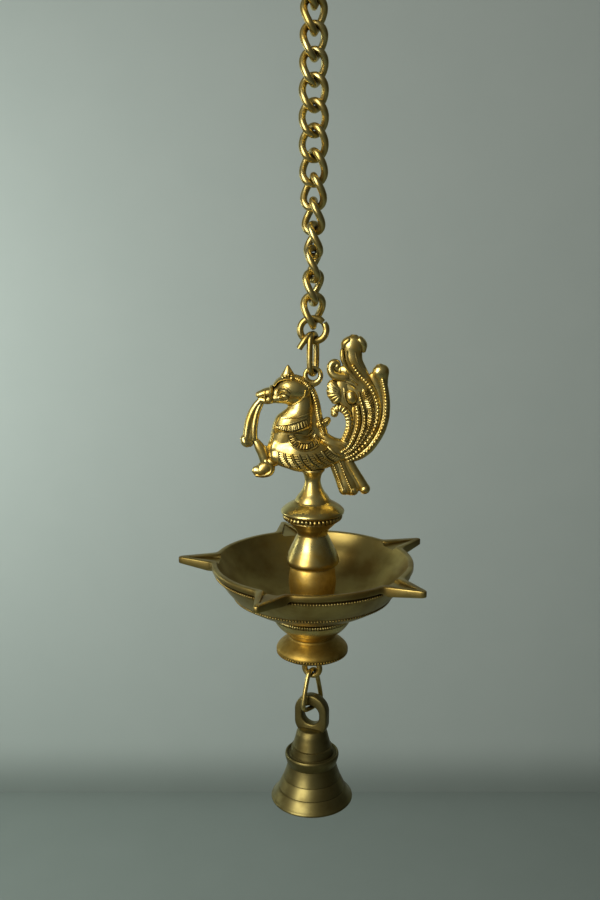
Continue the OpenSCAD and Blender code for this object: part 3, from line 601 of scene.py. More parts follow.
# How soon a channel and a spout reach their full depth, and how the wall curves out to the rim
CHANNEL_ONSET = 6
SPOUT_ONSET = 8
LIP_PULL = Vector((0.62, 0.42))
WALL_STEPS = 16
SIDE_STEPS = 18
LIP_STEPS = 4
bowl_top = Vector((INNER_R, rim_z - RIM_BAND - 3 * BEAD))
bowl_low = Vector((BOWL_BASE_R, rim_z - BOWL_DEPTH))
bowl_out = Vector((bowl_top.y - bowl_low.y, bowl_low.x - bowl_top.x)).normalized()


def bowl_side(share, inward=0.0):
    """A point on the bowl's side, from the band down to the flat underside."""
    swell = BOWL_SWELL * math.sin(math.pi * share) - inward
    return bowl_top + share * (bowl_low - bowl_top) + swell * bowl_out


def inside_rings(inner):
    """The rings from the boss over the floor and up the wall, or out along a spout's channel."""
    along = max(0, (inner - INNER_R) / (SPOUT_REACH - CHANNEL_END - INNER_R))
    opened = min(1, along * CHANNEL_ONSET)
    floor = bowl_side(1, BOWL_WALL)
    rings = [Vector((BOSS_FOOT_R, floor.y)), Vector((FLOOR_R, floor.y))]
    rings += [bowl_side(1 - i / WALL_STEPS, BOWL_WALL) for i in range(1, WALL_STEPS - 2)]
    wall = rings[-1]
    lip = Vector((INNER_R, rim_z - EDGE))
    pull = wall + LIP_PULL * (lip - wall)
    corner = 1 - (1 - CHANNEL_CORNER) * opened
    for i in range(1, LIP_STEPS + 1):
        t = corner * i / LIP_STEPS
        rings.append((1 - t) ** 2 * wall + 2 * t * (1 - t) * pull + t * t * lip)
    end = Vector((inner, rim_z - EDGE - (CHANNEL_DEPTH - EDGE) * opened * (1 - along)))
    return rings + [rings[-1].lerp(end, 0.5), end]


def outside_rings(outer):
    """The rings down the rim's band or a spout's side, back under it and down to the underside."""
    along = max(0, (outer - RIM_R) / (SPOUT_REACH - RIM_R))
    opened = min(1, along * SPOUT_ONSET)
    height = RIM_BAND + (SPOUT_ROOT_HEIGHT - RIM_BAND) * opened
    height += (SPOUT_TIP_HEIGHT - height) * along
    low = rim_z - height
    rings = [(outer, low + EDGE), (outer - EDGE_CUT, low + EDGE_CUT), (outer - EDGE, low)]
    # The underside of a spout sinks a little on its way back to the bowl
    rings.append(((outer + INNER_R) / 2, low - 0.2 * opened))
    rings.append((INNER_R + 0.5, low - 0.5 * opened))
    rings += [tuple(bowl_side(i / SIDE_STEPS)) for i in range(SIDE_STEPS + 1)]
    return rings + [(BOWL_BASE_R - 1, rim_z - BOWL_DEPTH), (BOSS_FOOT_R, rim_z - BOWL_DEPTH)]


def bowl_rings(turn):
    """The (radius, z) of every ring of the bowl at one turn."""
    inner, outer = inner_rim(turn), outer_rim(turn)
    top = [(inner, rim_z - EDGE), (inner + EDGE_CUT, rim_z - EDGE_CUT), (inner + EDGE, rim_z)]
    top += [(outer - EDGE, rim_z), (outer - EDGE_CUT, rim_z - EDGE_CUT), (outer, rim_z - EDGE)]
    rings = inside_rings(inner) + top + outside_rings(outer)
    return rings + rings[:1]


ring_count = len(bowl_rings(0))
print("each direction has", ring_count, "rings")

# %% [markdown]
# Now the grid is added, and each of its corners is moved to its own direction and ring. The last row
# and column of the grid fall on the first, so they are merged, and the bowl is one closed skin.

# %% Bowl
BOWL_COLUMNS = 720
bpy.ops.object.select_all(action="DESELECT")
bpy.ops.mesh.primitive_grid_add(x_subdivisions=BOWL_COLUMNS, y_subdivisions=ring_count - 1, size=2)
bowl = bpy.context.object
columns = [bowl_rings(360 * i / BOWL_COLUMNS) for i in range(BOWL_COLUMNS)]
for vertex in bowl.data.vertices:
    column = round((vertex.co.x + 1) / 2 * BOWL_COLUMNS) % BOWL_COLUMNS
    row = round((vertex.co.y + 1) / 2 * (ring_count - 1))
    radius, z = columns[column][row]
    turn = 2 * math.pi * column / BOWL_COLUMNS
    vertex.co = Vector((radius * math.cos(turn), radius * math.sin(turn), z)) * MM
alone(bowl)
bpy.ops.object.mode_set(mode="EDIT")
bpy.ops.mesh.select_all(action="SELECT")
bpy.ops.mesh.remove_doubles(threshold=0.001 * MM)
bpy.ops.mesh.normals_make_consistent(inside=False)
bpy.ops.object.mode_set(mode="OBJECT")
print("bowl", ring_count, "rings of", BOWL_COLUMNS)

# %% [markdown]
# Two fine lines of beads run around the bowl, one under the rim's band and one half way down the side.
# They are only a millimetre across, so each bead has few faces.

# %% Bead lines of the bowl
upper_line_z = rim_z - RIM_BAND - 1.9 * BEAD
upper_line = bead_row(radius=INNER_R + 0.75, z=upper_line_z, count=220, size=(0.56, 0.7, 0.56))
on_side = bowl_side(0.42)
lower_line = bead_row(radius=on_side.x + 0.1, z=on_side.y, count=170, size=(0.6, 0.62, 0.6))
finish(join([bowl, upper_line, lower_line]), "spouted_bowl", "lamp", "bowl_brass", ["bowl"], crease=50)

# %% [markdown]
# The boss in the middle of the bowl is a low barrel that the stem stands on, a rough casting, more
# golden than the bowl and painted brighter than the knob, as painted light where the bowl's rim shades
# it. It is turned like the stem, and it is a piece of its own because its brass is another one.

# %% Boss
boss_floor = bowl_side(1, BOWL_WALL).y
boss_top = stem_low
boss_low = rim_z - BOWL_DEPTH
boss_outline = [(BORE_R, boss_top, SHARP), (8.9, boss_top, SHARP), (9.3, boss_top - 0.5),
                (10.3, boss_top - 5), (10.5, boss_top - 8), (10.2, boss_top - 11), (9.8, boss_top - 14),
                (9.8, boss_floor, SHARP), (BOSS_FOOT_R, boss_low, SHARP), (BORE_R, boss_low, SHARP),
                (BORE_R, boss_top, SHARP)]
# The boss's brass is painted brighter, as painted light where the rim shades it
finish(lathe(boss_outline), "bowl_boss", "lamp", "golden_brass", material=boss_painted_light_brass)

# %% [markdown]
# Under the bowl a cup and a knob are drawn up by the hidden rod. The cup has a beaded edge where it
# meets the bowl, and the knob a beaded rim below its widest line. Both are turned, like the stem.

# %% Cup and bottom knob
cup_low, cup_top = reach("under_cup")
cup_height = cup_top - cup_low
cup_outline = [(10.4, 0, SHARP), (10.8, 0, SHARP), (11.7, 1.3), (14.6, 3.7), (16.8, 6.6),
               (17.6, 8.2, SHARP), (17.2, 8.5, SHARP), (17.4, 10.2, SHARP), (18.1, 10.6),
               (18.2, cup_height, SHARP), (16.2, cup_height, SHARP), (15.4, 7.4), (9.4, 2.4),
               (BORE_R, 2, SHARP), (BORE_R, 0, SHARP), (10.4, 0, SHARP)]
cup_beads = bead_row(radius=17.8, z=cup_low + 9.4, count=100, size=(0.62, 0.75, 0.75))
cup = join([lathe(lifted(cup_outline, cup_low)), cup_beads])
finish(cup, "turned_cup", "lamp", "turned_brass", ["under_cup"])

drop_low, drop_top = reach("bottom_knob")
drop_foot = drop_low - drop_top
drop_outline = [(BORE_R, 0, SHARP), (10.5, 0, SHARP), (10.25, -0.9), (11.5, -2.2), (14.4, -4.4),
                (16.0, -6.4), (16.1, -7.2, SHARP), (15.4, -7.4, SHARP), (15.0, -8.6, SHARP),
                (14.6, -9.2), (11.2, drop_foot, SHARP), (0, drop_foot, SHARP), (0, drop_foot + 4, SHARP),
                (BORE_R, drop_foot + 4, SHARP), (BORE_R, 0, SHARP)]
drop_beads = bead_row(radius=15.25, z=drop_top - 8.0, count=76, size=(0.7, 0.85, 0.85))
drop = join([lathe(lifted(drop_outline, drop_top)), drop_beads])
finish(drop, "bottom_drop", "lamp", "golden_brass", ["bottom_knob"])

# %% [markdown]
# The bell hangs from a small eye under the knob, by a narrow link of wire. The eye is a ring of bent
# rod under a turned flange and its shank, and the link is a triangle with three round corners.

# %% Bell eye and bell link
EYE_WIRE = 2.6
EYE_RING_R = 3.6
BELL_TURN = -22
BELL_LINK_WIRE = 2.1
BELL_LINK_TURN = 50
BELL_LINK_CORNER = 3.0
BELL_LINK_HALF = 3.3
SHANK_R = 1.25
EYE_KNOTS = 16


def eye_knots(z, radius, wire, count):
    """Knots of a closed ring about a height, in the XZ plane, in mm."""
    return [(x, 0, z + rise, wire / 2) for x, rise in arc(radius, 90, 450, count + 1)[:-1]]


eye_low, eye_high = reach("bell_eye")
eye_ring = eye_knots(eye_low + EYE_WIRE / 2 + EYE_RING_R, EYE_RING_R, EYE_WIRE, EYE_KNOTS)
flange = [(0, eye_high, SHARP), (SHANK_R, eye_high, SHARP), (SHANK_R, drop_low, SHARP),
          (4.9, drop_low, SHARP), (4.8, drop_low - 0.8), (3.9, drop_low - 1.9), (2.9, drop_low - 2.8),
          (0, drop_low - 3.2, SHARP)]
bell_eye = join([rod(eye_ring, closed=True), lathe(flange, steps=40)])
bell_eye.rotation_euler = (0, 0, math.radians(BELL_TURN))
finish(bell_eye, "bell_eye_bolt", "lamp", "wire_brass", ["bell_eye"])

bell_link_low, bell_link_high = reach("bell_link")
apex_z = bell_link_high - BELL_LINK_WIRE / 2 - BELL_LINK_CORNER
foot_z = bell_link_low + BELL_LINK_WIRE / 2 + BELL_LINK_CORNER
lean = math.degrees(math.atan2(BELL_LINK_HALF, apex_z - foot_z))
apex = [(x, apex_z + z) for x, z in arc(BELL_LINK_CORNER, lean, 180 - lean, 6)]
left = [(x - BELL_LINK_HALF, foot_z + z) for x, z in arc(BELL_LINK_CORNER, 180 - lean, 270, 5)]
right = [(x + BELL_LINK_HALF, foot_z + z) for x, z in arc(BELL_LINK_CORNER, 270, 360 + lean, 5)]
bell_link = rod([(x, 0, z, BELL_LINK_WIRE / 2) for x, z in apex + left + right], closed=True)
bell_link.rotation_euler = (0, 0, math.radians(BELL_LINK_TURN))
finish(bell_link, "bell_wire_link", "bell_link", "wire_brass", ["bell_link"])

# %% [markdown]
# The bell is turned outside and inside: a crown, a collar with a raised ring, and a skirt with two cut
# lines that flares to the mouth. One closed outline goes down the outside and back up the inside, so
# the bell has its wall at once. The crown's height is counted down from the loop's top, through the
# loop's hole.

# %% Bell
LOOP_HOLE_HEIGHT = 9.2
LOOP_WALL = 5.0
LOOP_FOOT = 2.4
CROWN_THICK = 3.0
mouth_z, loop_top = reach("bell")
hole_top = loop_top - LOOP_WALL
hole_low = hole_top - LOOP_HOLE_HEIGHT
crown_z = hole_low - LOOP_FOOT
crown_outline = [(0, 0, SHARP), (5.6, 0), (6.6, -1), (7.7, -4.6), (8.7, -8.5, SHARP), (9.3, -8.8, SHARP),
                 (9.7, -11.2), (9.9, -12.2, SHARP), (10.7, -12.6), (11.3, -12.1, SHARP), (11.9, -11.9),
                 (12.35, -12.6), (12.3, -13.7), (11.8, -15.6), (11.4, -16.9, SHARP), (11.15, -17.3, SHARP),
                 (11.35, -18.2), (12.1, -21.0), (13.0, -23.7, SHARP), (12.8, -24.0, SHARP),
                 (13.2, -24.3, SHARP), (15.3, -28.9, SHARP), (15.1, -29.2, SHARP), (15.5, -29.5, SHARP)]
mouth_outline = [(17.8, 1.9), (18.85, 0.5), (18.6, 0, SHARP), (16.9, 0, SHARP), (13.9, 4.9), (10.5, 13)]
hollow_outline = [(7.9, -12.5), (5.9, -5.6), (3.8, -CROWN_THICK), (0, -CROWN_THICK, SHARP)]
bell_body = lathe(lifted(crown_outline, crown_z) + lifted(mouth_outline, mouth_z)
                  + lifted(hollow_outline, crown_z))
print("bell from", round(mouth_z, 1), "to", round(loop_top, 1), "mm")

# %% [markdown]
# The bell's loop is a flat band like a stirrup, with a tall hole for the link. A filled circle is
# stretched upwards into a long oval and inset, and the inner face is pulled to the hole's place and
# deleted. A helper selects vertices by a test of their place, because nobody is there to click on them.

# %% Bell loop
LOOP_WIDTH = 15.6
LOOP_HOLE = 8.2
LOOP_DEPTH = 4.6
LOOP_RISE = 3.8


def select_vertices(piece, test):
    """Select the vertices that pass a test, and nothing else, in edit mode."""
    bpy.ops.object.mode_set(mode="EDIT")
    bpy.ops.mesh.select_mode(type="VERT")
    bpy.ops.mesh.select_all(action="DESELECT")
    bpy.ops.object.mode_set(mode="OBJECT")
    for vertex in piece.data.vertices:
        vertex.select = test(vertex)
    bpy.ops.object.mode_set(mode="EDIT")


loop_r = LOOP_WIDTH / 2
loop_foot_z = crown_z + LOOP_RISE
loop_place = (0, -LOOP_DEPTH / 2 * MM, loop_foot_z * MM)
bpy.ops.object.select_all(action="DESELECT")
bpy.ops.mesh.primitive_circle_add(vertices=64, radius=loop_r * MM, fill_type="NGON", location=loop_place,
                                  rotation=(math.pi / 2, 0, 0))
loop = bpy.context.object
bpy.ops.object.transform_apply(location=True, rotation=True, scale=True)
select_vertices(loop, lambda vertex: vertex.co.z > (loop_foot_z - 0.01) * MM)
bpy.ops.transform.translate(value=(0, 0, (loop_top - loop_r - loop_foot_z) * MM))
bpy.ops.mesh.select_all(action="SELECT")
bpy.ops.mesh.inset(thickness=(LOOP_WIDTH - LOOP_HOLE) / 2 * MM)
bpy.ops.object.mode_set(mode="OBJECT")
hole = {vertex.index for vertex in loop.data.vertices if vertex.select}
hole_heights = [loop.data.vertices[i].co.z / MM for i in hole]
middle_z = (min(hole_heights) + max(hole_heights)) / 2
select_vertices(loop, lambda vertex: vertex.index in hole and vertex.co.z > middle_z * MM)
bpy.ops.transform.translate(value=(0, 0, (hole_top - max(hole_heights)) * MM))
select_vertices(loop, lambda vertex: vertex.index in hole and vertex.co.z < middle_z * MM)
bpy.ops.transform.translate(value=(0, 0, (hole_low - min(hole_heights)) * MM))
select_vertices(loop, lambda vertex: vertex.index in hole)
bpy.ops.mesh.delete(type="ONLY_FACE")
bpy.ops.object.mode_set(mode="OBJECT")
print("loop's hole from", round(hole_low, 1), "to", round(hole_top, 1), "mm")

# %% [markdown]
# The flat ring is extruded to the band's depth and its edges are bevelled, as a file would break them.
# Its foot is cut off inside the crown, where the cut can't be seen, and the loop is joined to the bell.

# %% Depth of the bell loop
LOOP_BEVEL = 0.8
LOOP_SINK = 1.5
bpy.ops.object.mode_set(mode="EDIT")
bpy.ops.mesh.select_all(action="SELECT")
bpy.ops.mesh.extrude_region_move(TRANSFORM_OT_translate={"value": (0, LOOP_DEPTH * MM, 0)})
bpy.ops.mesh.select_all(action="SELECT")
bpy.ops.mesh.normals_make_consistent(inside=False)
bpy.ops.mesh.select_all(action="DESELECT")
bpy.ops.mesh.select_mode(type="EDGE")
bpy.ops.mesh.edges_select_sharp(sharpness=math.radians(60))
bpy.ops.mesh.bevel(offset=LOOP_BEVEL * MM, segments=3, affect="EDGES")
bpy.ops.mesh.select_mode(type="VERT")
bpy.ops.mesh.select_all(action="SELECT")
bpy.ops.mesh.bisect(plane_co=(0, 0, (crown_z - LOOP_SINK) * MM), plane_no=(0, 0, 1), clear_inner=True,
                    use_fill=True)
bpy.ops.object.mode_set(mode="OBJECT")
loop.rotation_euler = (0, 0, math.radians(BELL_TURN))
alone(loop)
bpy.ops.object.transform_apply(location=True, rotation=True, scale=True)
finish(join([bell_body, loop]), "turned_bell", "bell", "bell_brass", ["bell"])

# %% [markdown]
# Inside the bell a staple holds the clapper, a rod with an eye at its top and a ball at its end.
# Neither can be seen from the front, but both show from below. The staple and the clapper's eye are the
# same ring, turned by a quarter so that one hangs in the other.

# %% Staple and clapper
CLAPPER_WIRE = 1.6
CLAPPER_EYE = 2.5
CLAPPER_BALL = 4.2
CLAPPER_EYE_KNOTS = 12
wire_r = CLAPPER_WIRE / 2
staple_low, staple_high = reach("clapper_staple")
staple_z = staple_low + wire_r + CLAPPER_EYE
staple_ring = rod(eye_knots(staple_z, CLAPPER_EYE, CLAPPER_WIRE, CLAPPER_EYE_KNOTS), closed=True, sides=4)
staple_shank = [(0, 0, staple_high, wire_r), (0, 0, staple_z + CLAPPER_EYE, wire_r)]
staple = join([staple_ring, rod(staple_shank, steps=2, sides=4)])
staple.rotation_euler = (0, 0, math.radians(BELL_TURN))
finish(staple, "bell_staple", "bell", "wire_brass", ["clapper_staple"])

clapper_low, clapper_high = reach("clapper")
clapper_z = clapper_high - wire_r - CLAPPER_EYE
ball_z = clapper_low + CLAPPER_BALL
ball_outline = [(0, ball_z + CLAPPER_BALL + 0.4, SHARP), (1.2, ball_z + CLAPPER_BALL + 0.1)]
ball_outline += [(x, ball_z + z) for x, z in arc(CLAPPER_BALL, 68, -90, 9)]
ball = lathe(ball_outline, steps=40)
clapper_ring = rod(eye_knots(clapper_z, CLAPPER_EYE, CLAPPER_WIRE, CLAPPER_EYE_KNOTS), closed=True, sides=4)
clapper_shank = [(0, 0, clapper_z - CLAPPER_EYE, wire_r), (0, 0, ball_z + 3, wire_r)]
clapper = join([ball, clapper_ring, rod(clapper_shank, steps=2, sides=4)])
clapper.rotation_euler = (0, 0, math.radians(BELL_TURN + 90))
finish(clapper, "bell_clapper", "clapper", "bell_brass", ["clapper"])

# %% [markdown]
# The peacock is a flat casting that was modelled in wax from rolled strips: feathers, curls and a
# scroll laid side by side. It could be sculpted, but it is built from strips here too, because each one
# can then be set to its place in the photograph. A strip is a rod through knots of (x, height, half
# width), where the height counts from the stem's top, and it is pressed flat to its own thickness. Two
# smaller knots beyond each end round it off.

# %% Roll a strip and press it flat
FIGURE_Z = stem_top
# How far beyond an end a rounding knot lies, and how wide it is, both in half widths of that end
ROUNDING = ((0.62, 0.78), (0.96, 0.28))
STRIP_STEPS = 5


def strip(knots, thick, sides=5):
    """A rounded strip in the figure's plane through knots of (x, height, half width) in mm."""
    path = [Vector((x, 0, FIGURE_Z + z)) for x, z, _ in knots]
    halves = [half for _, _, half in knots]
    start = (path[0] - path[1]).normalized()
    end = (path[-1] - path[-2]).normalized()
    full = [(path[0] + start * halves[0] * out, halves[0] * wide) for out, wide in reversed(ROUNDING)]
    full += list(zip(path, halves))
    full += [(path[-1] + end * halves[-1] * out, halves[-1] * wide) for out, wide in ROUNDING]
    piece = rod([(*place, half) for place, half in full], steps=STRIP_STEPS, sides=sides)
    piece.scale.y = thick / 2 / max(halves)
    bpy.ops.object.transform_apply(location=True, rotation=True, scale=True)
    return piece


def button(x, z, radius, thick):
    """A domed boss in the figure's plane."""
    bpy.ops.object.select_all(action="DESELECT")
    bpy.ops.mesh.primitive_uv_sphere_add(segments=28, ring_count=16, radius=radius * MM)
    piece = bpy.context.object
    piece.location = (x * MM, 0, (FIGURE_Z + z) * MM)
    piece.scale.y = thick / 2 / radius
    bpy.ops.object.transform_apply(location=True, rotation=True, scale=True)
    return piece


print("the figure stands at", round(FIGURE_Z, 1), "mm")

# %% [markdown]
# Body, neck and head flow into each other without a line, so their strips are joined, remeshed into one
# skin and smoothed. The pedestal is turned and joined on as it is, because a remesh would blur its
# edges.

# %% Body, neck and head
BODY_VOXEL = 0.4
RELAX_ROUNDS = 8
body_strips = [
    strip([(-14.6, 23.6, 5.2), (-9.6, 22, 7.7), (-3, 20.6, 8.1), (3.5, 20.3, 6.8), (10, 20.6, 4.6),
           (15.5, 21, 3.0)], 15, sides=8),
    strip([(-11.4, 26.5, 7.4), (-8.4, 32.6, 8.6), (-6.2, 37, 6.9), (-5, 40.5, 5.4)], 11.4, sides=8),
    strip([(-5.6, 38, 5.4), (-4.8, 42, 4.8), (-4.6, 46, 4.4)], 8.6, sides=8),
    strip([(-14.3, 47.4, 3.6), (-11.5, 48.6, 5.2), (-8, 49, 5.5), (-5.2, 48.4, 4.9)], 11, sides=8),
    strip([(-2, 44.3, 2.5), (-1, 38.2, 3.4), (1, 32.1, 3.4), (1.1, 27, 3)], 3.2),
    strip([(-15.4, 20.4, 4.2), (-9, 18.4, 4.6), (0, 17.4, 4.6)], 11, sides=8),
    strip([(-19.4, 44.7, 1.9), (-16, 45.3, 2.6), (-12, 45.7, 3.2), (-8.4, 45.4, 3.6)], 8.4, sides=8),
    strip([(2.6, 31.4, 1.2), (4.8, 28.8, 1.9), (7.2, 26.7, 2.2), (10.6, 25.4, 2.2), (15, 25, 2.2)], 4.8),
]
body = join(body_strips)
remesh = body.modifiers.new("one skin", "REMESH")
remesh.mode = "VOXEL"
remesh.voxel_size = BODY_VOXEL * MM
bpy.ops.object.modifier_apply(modifier=remesh.name)
relax = body.modifiers.new("relax", "SMOOTH")
relax.factor = 0.5
relax.iterations = RELAX_ROUNDS
bpy.ops.object.modifier_apply(modifier=relax.name)
pedestal_outline = [(0, 15, SHARP), (5.2, 14), (4.2, 12), (3.5, 9.5), (3.7, 7.3), (5.1, 4), (7.0, 1.4),
                    (7.7, 0, SHARP), (0, 0, SHARP)]
pedestal = lathe(lifted(pedestal_outline, FIGURE_Z), steps=64)
print("body", len(body.data.polygons), "faces")

# %% [markdown]
# The head carries a crest, a beak with two ring mouldings, and a ridge down the back of the neck with a
# spur at its foot. The ridge also holds the eye that the whole lamp hangs from. Lines that get beads or
# strokes later have names of their own.

# %% Crest, beak and ridge
RIDGE = [(-9, 54, 1.3), (-6.7, 53.6, 1.5), (-3.9, 52.2, 1.6), (-1.6, 50, 1.6), (0.2, 46.8, 1.6),
         (1.5, 42.5, 1.65), (2.1, 38.8, 1.75), (2.7, 35.5, 1.9), (3.7, 32.4, 2.0), (4.7, 29.8, 1.9)]
COLLAR = [(-16.6, 31.3, 0.9), (-13.6, 31.7, 0.9), (-9.5, 31.2, 0.9), (-5.6, 32, 0.9), (-1.2, 33.4, 0.8)]
BROW = [(-16.4, 50.6, 0.7), (-14.8, 52.6, 0.8), (-12.2, 53.6, 0.9), (-9.4, 53.6, 0.9), (-6.6, 52.8, 0.8)]
head_strips = [
    strip([(-17.6, 47.6, 2.2), (-20.4, 47.2, 2.0), (-23.1, 46.5, 1.4)], 5.8),
    strip([(-17.6, 44.7, 2.1), (-20.4, 44.2, 1.8), (-22.4, 44.5, 1.2)], 5.0),
    strip([(-17.6, 49.6, 1.0), (-18, 46.7, 1.15), (-17.6, 43.8, 1.0)], 8.2),
    strip([(-20.1, 48.6, 0.6), (-20.4, 46.4, 0.7), (-20.1, 44.2, 0.6)], 6.2),
    strip(BROW, 7.6),
    strip(COLLAR, 13.2),
    strip(RIDGE, 3.6),
    strip([(2.8, 33.6, 2.2), (5.0, 34.2, 1.9), (6.2, 35.4, 1.6)], 4.2),
]
CREST_X, CREST_HEIGHT, CREST_FLAT = -10.6, 54, 0.72
crest_outline = [(0, 5.4, SHARP), (0.6, 4.8, SHARP), (3.2, 0.6, SHARP), (3.4, -2, SHARP), (0, -2, SHARP)]
crest = lathe(crest_outline, steps=32)
crest.location = (CREST_X * MM, 0, (FIGURE_Z + CREST_HEIGHT) * MM)
crest.scale.y = CREST_FLAT
head_strips.append(crest)
EYE_HEIGHT = 54.75
EYE_R = 3.25
# Half the eye's wire at its sides, and how much thinner it is worn at the top
EYE_WIRE_HALF = 1.1
EYE_WEAR = 0.2
lug = []
for x, rise in arc(EYE_R, 90, 450, EYE_KNOTS + 1)[:-1]:
    lug.append((x, 0, FIGURE_Z + EYE_HEIGHT + rise, EYE_WIRE_HALF - EYE_WEAR * rise / EYE_R))
lug_strip = strip([(-3.4, 51.4, 1.2), (-0.4, 50.9, 1.3), (2.2, 51.6, 0.9), (3.4, 53.2, 0.7)], 2.6)
head_strips += [rod(lug, closed=True, sides=4), lug_strip]
print("head", len(head_strips), "strips")

# %% [markdown]
# From the beak hangs a scroll of two strands with a thin web between them and a curled end, then a leaf
# that runs back to the breast and a curled bud below. All of it is strips again.

# %% Scroll
scroll_strips = [
    strip([(-21.8, 44.6, 1.4), (-25, 40.7, 1.6), (-27.2, 35.5, 1.7), (-28.1, 31.2, 1.7),
           (-28.5, 27.6, 1.7)], 3.4),
    strip([(-22, 43.2, 1.3), (-23.8, 38.8, 1.4), (-24.8, 34.5, 1.5), (-25.2, 30.3, 1.5),
           (-25.1, 27.2, 1.4)], 3.0),
    strip([(-22.4, 43, 1.2), (-24.6, 38.8, 1.2), (-26, 34.5, 1.2), (-26.7, 30.3, 1.3),
           (-26.8, 27.4, 1.3)], 2.2),
    strip([(-29.4, 27.2, 1.9), (-28.6, 25.7, 2.1), (-27.2, 25.3, 1.7)], 4.4),
    strip([(-25.2, 27.9, 0.9), (-23.4, 24.5, 2.0), (-21.4, 20.7, 2.4), (-20.3, 16.8, 2.3)], 3.4),
    strip([(-24.2, 13.2, 2.2), (-22.6, 13.4, 3.0), (-20.4, 14.4, 3.1)], 5.0, sides=7),
    strip([(-20.2, 17.6, 1.6), (-18, 15.6, 1.5), (-18, 12.9, 1.4), (-20.7, 11.4, 1.3),
           (-24.2, 11.3, 1.0)], 4.6),
    strip([(-18.8, 17, 2.3), (-16.4, 17.6, 2.5), (-13.6, 19, 2.5)], 4.6),
    strip([(-20.2, 23.2, 1.2), (-19.4, 20.6, 1.7), (-18.2, 18.2, 1.9)], 2.0),
]
print("scroll", len(scroll_strips), "strips")

# %% [markdown]
# The tail rises behind in long feathers that end in a broad cap and a knob. Inside their curve lie
# leaves and curls, on thin webs that close the gaps as the casting's backing does. The feathers and the
# curl have names, because beads and ribs follow them later.

# %% Tail
FEATHERS = [
    [(15.5, 18, 1.5), (21.8, 20.9, 1.9), (27.3, 27.4, 2.0), (30.3, 34.5, 2.0), (31.1, 41.6, 1.9),
     (30.5, 48.2, 1.8), (29.4, 53, 1.8)],
    [(14.5, 19.4, 1.4), (17.8, 21, 1.6), (22.9, 26, 1.8), (26.4, 32.2, 1.9), (27.7, 39.2, 1.9),
     (26.5, 45.3, 1.9), (23.6, 50.9, 1.9), (20, 54.7, 1.8), (16.8, 59, 1.4)],
    [(14.6, 20.6, 1.5), (19.5, 24.7, 1.8), (23.4, 31.2, 1.9), (24.9, 36.9, 1.9), (24.2, 42.5, 1.9),
     (21.6, 48.2, 1.7)],
    [(14, 21.4, 1.3), (17, 22.9, 1.6), (20.3, 28.3, 1.75), (22, 34, 1.75), (21.6, 39.7, 1.7),
     (20, 45.3, 1.3)],
    [(12.6, 22.2, 1.3), (15, 23.8, 1.6), (17.2, 27.4, 1.75), (18.8, 32.2, 1.8), (19.3, 36.9, 1.7),
     (18.6, 41.4, 1.4)],
]
CURL = [(9.0, 39.4, 1.5), (10.6, 40.8, 1.6), (13.4, 39.8, 1.7), (15.3, 36.8, 1.75), (15.7, 33.1, 1.75),
        (14.9, 29.6, 1.75), (13.6, 26.8, 1.6), (12, 24, 1.5)]
tail_strips = [strip(feather, 4.2) for feather in FEATHERS]
tail_strips += [
    strip([(30.2, 49.6, 1.7), (29.5, 53, 2.5), (28.7, 56.2, 3.6)], 5.2, sides=7),
    strip([(17.0, 67.8, 4.4), (16.8, 64.6, 4.0), (17.3, 60.7, 3.8), (20, 56.3, 3.1),
           (22.8, 52.3, 2.3)], 5.2, sides=8),
    strip([(12.7, 66.8, 1.0), (13.2, 68.5, 1.4), (14.9, 69.8, 1.5)], 5.0),
    strip([(19.6, 69.9, 1.6), (21.2, 67.9, 1.6), (21.3, 65.4, 1.1)], 5.4),
    strip([(12.2, 65.4, 0.8), (12.2, 63.4, 1.0), (13, 60.4, 1.0), (15.3, 56.4, 0.95),
           (19, 52.4, 0.8)], 4.4),
    strip([(17, 21.5, 2.6), (21.6, 28.4, 4.0), (24, 36, 4.4), (22.8, 44, 5), (18.4, 50, 5),
           (14.6, 56, 3.6)], 3.2),
    strip([(24, 22.4, 1.4), (27.7, 30, 1.5), (29.4, 37, 1.5), (29.2, 43.6, 1.6), (27.6, 50, 2.0),
           (25.6, 54.4, 2.0)], 2.8),
    strip([(17.4, 40.6, 1.2), (17.5, 33, 1.3), (15.8, 27.4, 1.5), (13.2, 23.4, 1.6)], 3.0),
    strip([(8.4, 50.4, 2.6), (9.2, 47.6, 3.5), (10, 45, 2.9)], 4.4),
    strip([(12.8, 53, 3.0), (13, 47, 3.4), (15.6, 40.6, 2.6)], 2.6),
    strip([(16.1, 46.4, 2.65), (16.5, 44.8, 2.7)], 6.0, sides=7),
    strip([(10.2, 58.6, 1.2), (10.6, 59.6, 1.2), (9.4, 60.4, 1.4), (7.9, 59.6, 1.6), (7.4, 57.6, 1.7),
           (8.2, 55.6, 1.9), (10.6, 54.2, 2.1), (14, 54, 1.9)], 4.8),
    strip([(9.4, 58.2, 1.5), (11, 57.4, 1.6)], 1.4),
    strip([(12.2, 57, 1.9), (14, 57, 3.2)], 3.4),
    strip(CURL, 4.8),
    button(9.2, 38.4, 1.75, 4.8),
]
print("tail", len(tail_strips), "strips")

# %% [markdown]
# Three toes hang under the tail on two webs, each with a round tip. With them the figure is complete,
# so all its strips are joined and finished as one casting.

